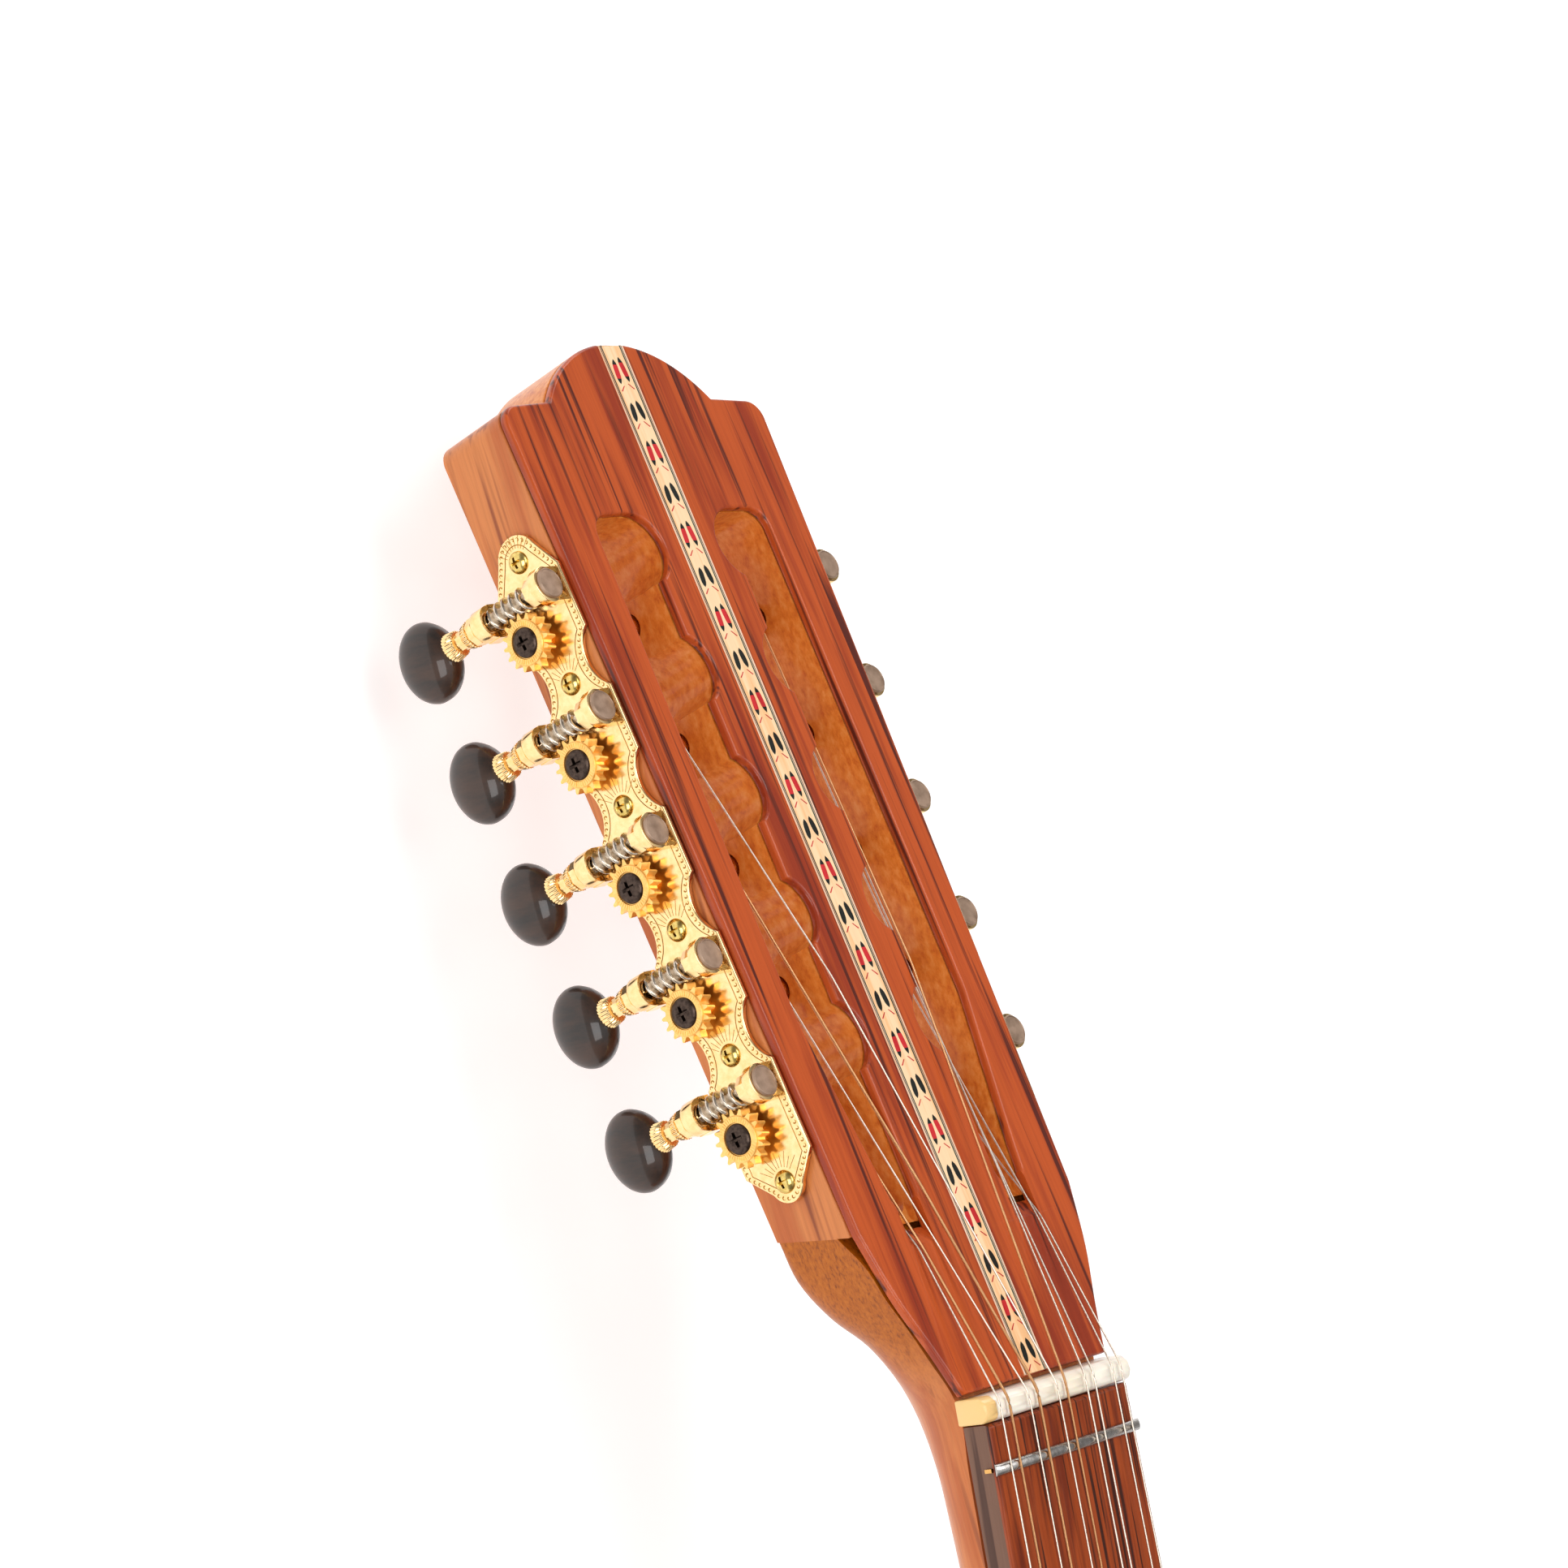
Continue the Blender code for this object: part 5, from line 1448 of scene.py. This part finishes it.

# Gears and posts
# Each worm drives a gear with sixteen teeth, in satin gold plate whose deeper orange is a painted reflection
# of gold in gold. The gear is fixed to a brass post, which crosses the slot and ends in the middle rib, by a
# black cross-head screw sunk in its knurled crown.

TEETH = 16
GEAR_LOW = 0.0009
GEAR_HIGH = 0.0031
GEAR_PITCH_R = TEETH * WORM_LEAD / (2 * math.pi)
POST_R = 0.0027
POST_DEPTH = 0.029
CROWN_R = 0.0043
CROWN_TOP = GEAR_HIGH + 0.0003
SCREW_R = 0.0029
post_brass = drawn_metal("post_brass", paint(244, 196, 120), paint(214, 156, 84), 0.24, 1000)
screw_black = drawn_metal("screw_black_oxide", paint(84, 70, 62), paint(52, 42, 38), 0.32, 1500)


def gear_ring(twist):
    root, tip = GEAR_PITCH_R - 0.00069, GEAR_PITCH_R + 0.00045
    points = []
    for tooth in range(TEETH):
        middle = 2 * math.pi * (tooth + 0.5) / TEETH + twist
        for radius, half in ((root, -0.00062), (root + 0.0003, -0.00046), (tip - 0.0002, -0.00030),
                             (tip, -0.00014), (tip, 0.00014), (tip - 0.0002, 0.00030),
                             (root + 0.0003, 0.00046), (root, 0.00062)):
            angle = middle + half / radius
            points.append((radius * math.cos(angle), radius * math.sin(angle)))
    return points


def gear_mesh():
    """The toothed rim with a round crown on it, and a sunk seat for the screw."""
    lean = (GEAR_HIGH - GEAR_LOW) / 2 * WORM_LEAD / (2 * math.pi * (WORM_OFFSET - GEAR_PITCH_R))
    rings = []
    for out, twist in ((GEAR_LOW, lean / GEAR_PITCH_R), (GEAR_HIGH, -lean / GEAR_PITCH_R)):
        rings.append([Vector((out, x, z)) for x, z in gear_ring(twist)])
    crown = [(GEAR_HIGH - 0.0001, CROWN_R), (CROWN_TOP - 0.0001, CROWN_R), (CROWN_TOP, CROWN_R - 0.0001),
             (CROWN_TOP, SCREW_R + 0.0002), (GEAR_HIGH + 0.00005, SCREW_R + 0.0001),
             (GEAR_HIGH + 0.00005, 0.0002)]
    return join_meshes([loft(rings, smooth_angle=25), turned_round(crown, 64, OUTWARDS)])


gear = gear_mesh()
# The gear's colours are about the plate gold squared: a painted reflection of gold in gold, on a satin
# finish.
gear_gold_painted_reflection = drawn_metal("gear_gold_painted_reflection", (1.0, 0.66, 0.24, 1), (0.95, 0.52, 0.14, 1), 0.42, 1200)
knurl_rib = box_mesh(-0.00045, 0.00045, -0.00009, 0.00009, 0, 0.00008)
crown_knurl = grown(RINGS, knurl_rib, gear_gold_painted_reflection, Matrix.Translation((CROWN_TOP, 0, 0)) @ OUTWARDS,
                    Count=44, Radius=0.0036)
post = join_meshes([turned_round([(-POST_DEPTH, POST_R - 0.0003), (-POST_DEPTH + 0.0003, POST_R),
                                  (GEAR_LOW, POST_R)], 40, OUTWARDS)])
gear_screw = screw_head(SCREW_R, 0.00085, Matrix.Translation((GEAR_HIGH + 0.0001, 0, 0)) @ OUTWARDS)
for name, side in SIDES:
    for index in range(TUNERS):
        here = machine_place(side, index)
        label = "%s_%d" % (name, index + 1)
        body = "post_" + label
        wheel = add_piece("gear_" + label, placed(gear, here), gear_gold_painted_reflection)
        hand_over(wheel, body, "gold_metal", "post_gear_" + label)
        hand_over(add_piece("gear_knurl_" + label, placed(crown_knurl, here), gear_gold_painted_reflection), body, "gold_metal")
        hand_over(add_piece("post_" + label, placed(post, here), post_brass), body, "gold_metal")
        hand_over(add_piece("gear_screw_" + label, placed(gear_screw, here), screw_black), body, "worm_metal")

# Strings
# Five pairs run from the tailpiece over the saddle, the frets and the nut, bend over the edge of their slot
# and wind round their posts. Most are plain steel, and three are wound with bronze.

SADDLE_Y = sum(corner.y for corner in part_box("saddle")) / 2
SADDLE_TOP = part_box("saddle")[1].z
plain_steel = drawn_metal("string_steel", paint(232, 220, 206), paint(206, 192, 176), 0.36, 2000)
BRONZE_PITCH = 0.00016


def bronze_winding():
    made, tree, shader = new_finish("string_bronze", Metallic=1.0, Roughness=0.28)
    where = add_node(tree, "ShaderNodeTexCoord")
    turns = add_node(tree, "ShaderNodeTexWave", {"Vector": where.outputs["Object"],
                                                 "Scale": math.pi / (10 * BRONZE_PITCH)},
                     wave_type="BANDS", bands_direction="Y")
    # Bands along the string: pale bronze on each turn, with painted shade in the groove between turns.
    bronze_with_painted_groove_shade = colour_ramp(tree, turns.outputs["Fac"], (0.1, paint(150, 92, 52)),
                            (0.6, paint(244, 190, 136)))
    tree.links.new(bronze_with_painted_groove_shade, shader.inputs["Base Color"])
    add_bump(tree, shader, turns.outputs["Fac"], 0.5, 0.00005)
    return made


wound_bronze = bronze_winding()


def string_points(number):
    """From the tailpiece to the top of the post, and the post's side, index and first turn's place."""
    radius = STRING_RADII[number]
    nut_x = string_x(number, COURSE_STEP_NUT)
    saddle_x = string_x(number, COURSE_STEP_SADDLE)
    lift = radius + SEAM
    points = [Vector((saddle_x * 0.92, -0.1412, BODY_TOP + 0.0048)),
              Vector((saddle_x, SADDLE_Y, SADDLE_TOP + lift)),
              Vector((nut_x, NUT_LOW.y + 0.0015, NUT_HIGH.z + lift)),
              Vector((nut_x, NUT_HIGH.y - 0.0011, NUT_HIGH.z + lift - 0.0001))]
    side = -1 if number < COURSES else 1
    index = TUNERS - 1 - number if side < 0 else number - COURSES
    over = FACE + lift + 0.0001
    bend = ((0.0123, -0.078, over), (0.0121, -0.120, over + 0.0003), None,
            (0.0183, RAMP_START, over), (0.0194, RAMP_START, over))[index]
    if bend:
        points.append(HEAD @ Vector((side * bend[0], bend[1], bend[2])))
    wind_x = (0.0225, 0.0225, 0.0220, 0.0210, 0.0195)[index]
    tip = FIRST_POST - TUNER_STEP * index
    start_out = wind_x - PLATE_LINE - SIDE_SLOPE * tip
    points.append(machine_place(side, index) @ Vector((start_out, 0, POST_R + radius + 0.00045)))
    return points, side, index, start_out


def wire_mesh(points, radius, sides=3):
    """A round wire through points, with closed ends."""
    curve = bpy.data.curves.new("wire", "CURVE")
    curve.dimensions = "3D"
    curve.bevel_depth = radius
    curve.bevel_resolution = sides
    curve.use_fill_caps = True
    spline = curve.splines.new("POLY")
    spline.points.add(len(points) - 1)
    for point, place in zip(spline.points, points):
        point.co = (*place, 1)
    holder = bpy.data.objects.new("wire", curve)
    bpy.context.scene.collection.objects.link(holder)
    mesh = evaluated_mesh(holder)
    bpy.data.objects.remove(holder)
    return tidy_mesh(mesh)


def softened(points, reach=0.0012):
    """Rounds the corners of a wire's route."""
    made = [points[0]]
    for a, b, c in zip(points, points[1:], points[2:]):
        before, after = (a - b).normalized() * reach, (c - b).normalized() * reach
        for k in range(5):
            t = k / 4
            made.append((b + before) * (1 - t) ** 2 + b * 2 * t * (1 - t) + (b + after) * t ** 2)
    return made + [points[-1]]


def winding_tree():
    """Turns of wire about z: a spiral of even radius swept by a round section."""
    tree, given = new_tree("string_turns", Turns="Float", Loop_radius="Float", Wire_radius="Float",
                           Rise="Float")
    spiral = add_node(tree, "GeometryNodeCurveSpiral",
                      {"Resolution": 36, "Rotations": given["Turns"], "Start Radius": given["Loop radius"],
                       "End Radius": given["Loop radius"], "Height": given["Rise"], "Reverse": False})
    section = add_node(tree, "GeometryNodeCurvePrimitiveCircle", {"Resolution": 10,
                                                                  "Radius": given["Wire radius"]})
    swept = add_node(tree, "GeometryNodeCurveToMesh",
                     {"Curve": spiral.outputs["Curve"], "Profile Curve": section.outputs["Curve"],
                      "Fill Caps": True})
    return end_tree(tree, given, swept.outputs["Mesh"])


WINDINGS = winding_tree()
STRING_TURNS = 4.0
for number, radius in enumerate(STRING_RADII):
    points, side, index, start_out = string_points(number)
    look, slot = (wound_bronze, "wound_string") if number in (1, 3, 5) else (plain_steel, "plain_string")
    name = "string_%d" % (number + 1)
    hand_over(add_piece(name, wire_mesh(softened(points), radius), look), "root", slot, name)
    here = machine_place(side, index)
    rise = STRING_TURNS * (2 * radius + 0.00004)
    start = Matrix.Translation((start_out, 0, 0)) @ OUTWARDS @ Matrix.Rotation(math.pi, 4, "Z")
    turns = grown(WINDINGS, bpy.data.meshes.new("empty"), look, here @ start, Turns=STRING_TURNS,
                  Loop_radius=POST_R + radius + 0.00005, Wire_radius=radius, Rise=rise)
    label = "%s_%d" % ("left" if side < 0 else "right", index + 1)
    hand_over(add_piece("string_turns_" + label, turns, look), "post_" + label, slot)
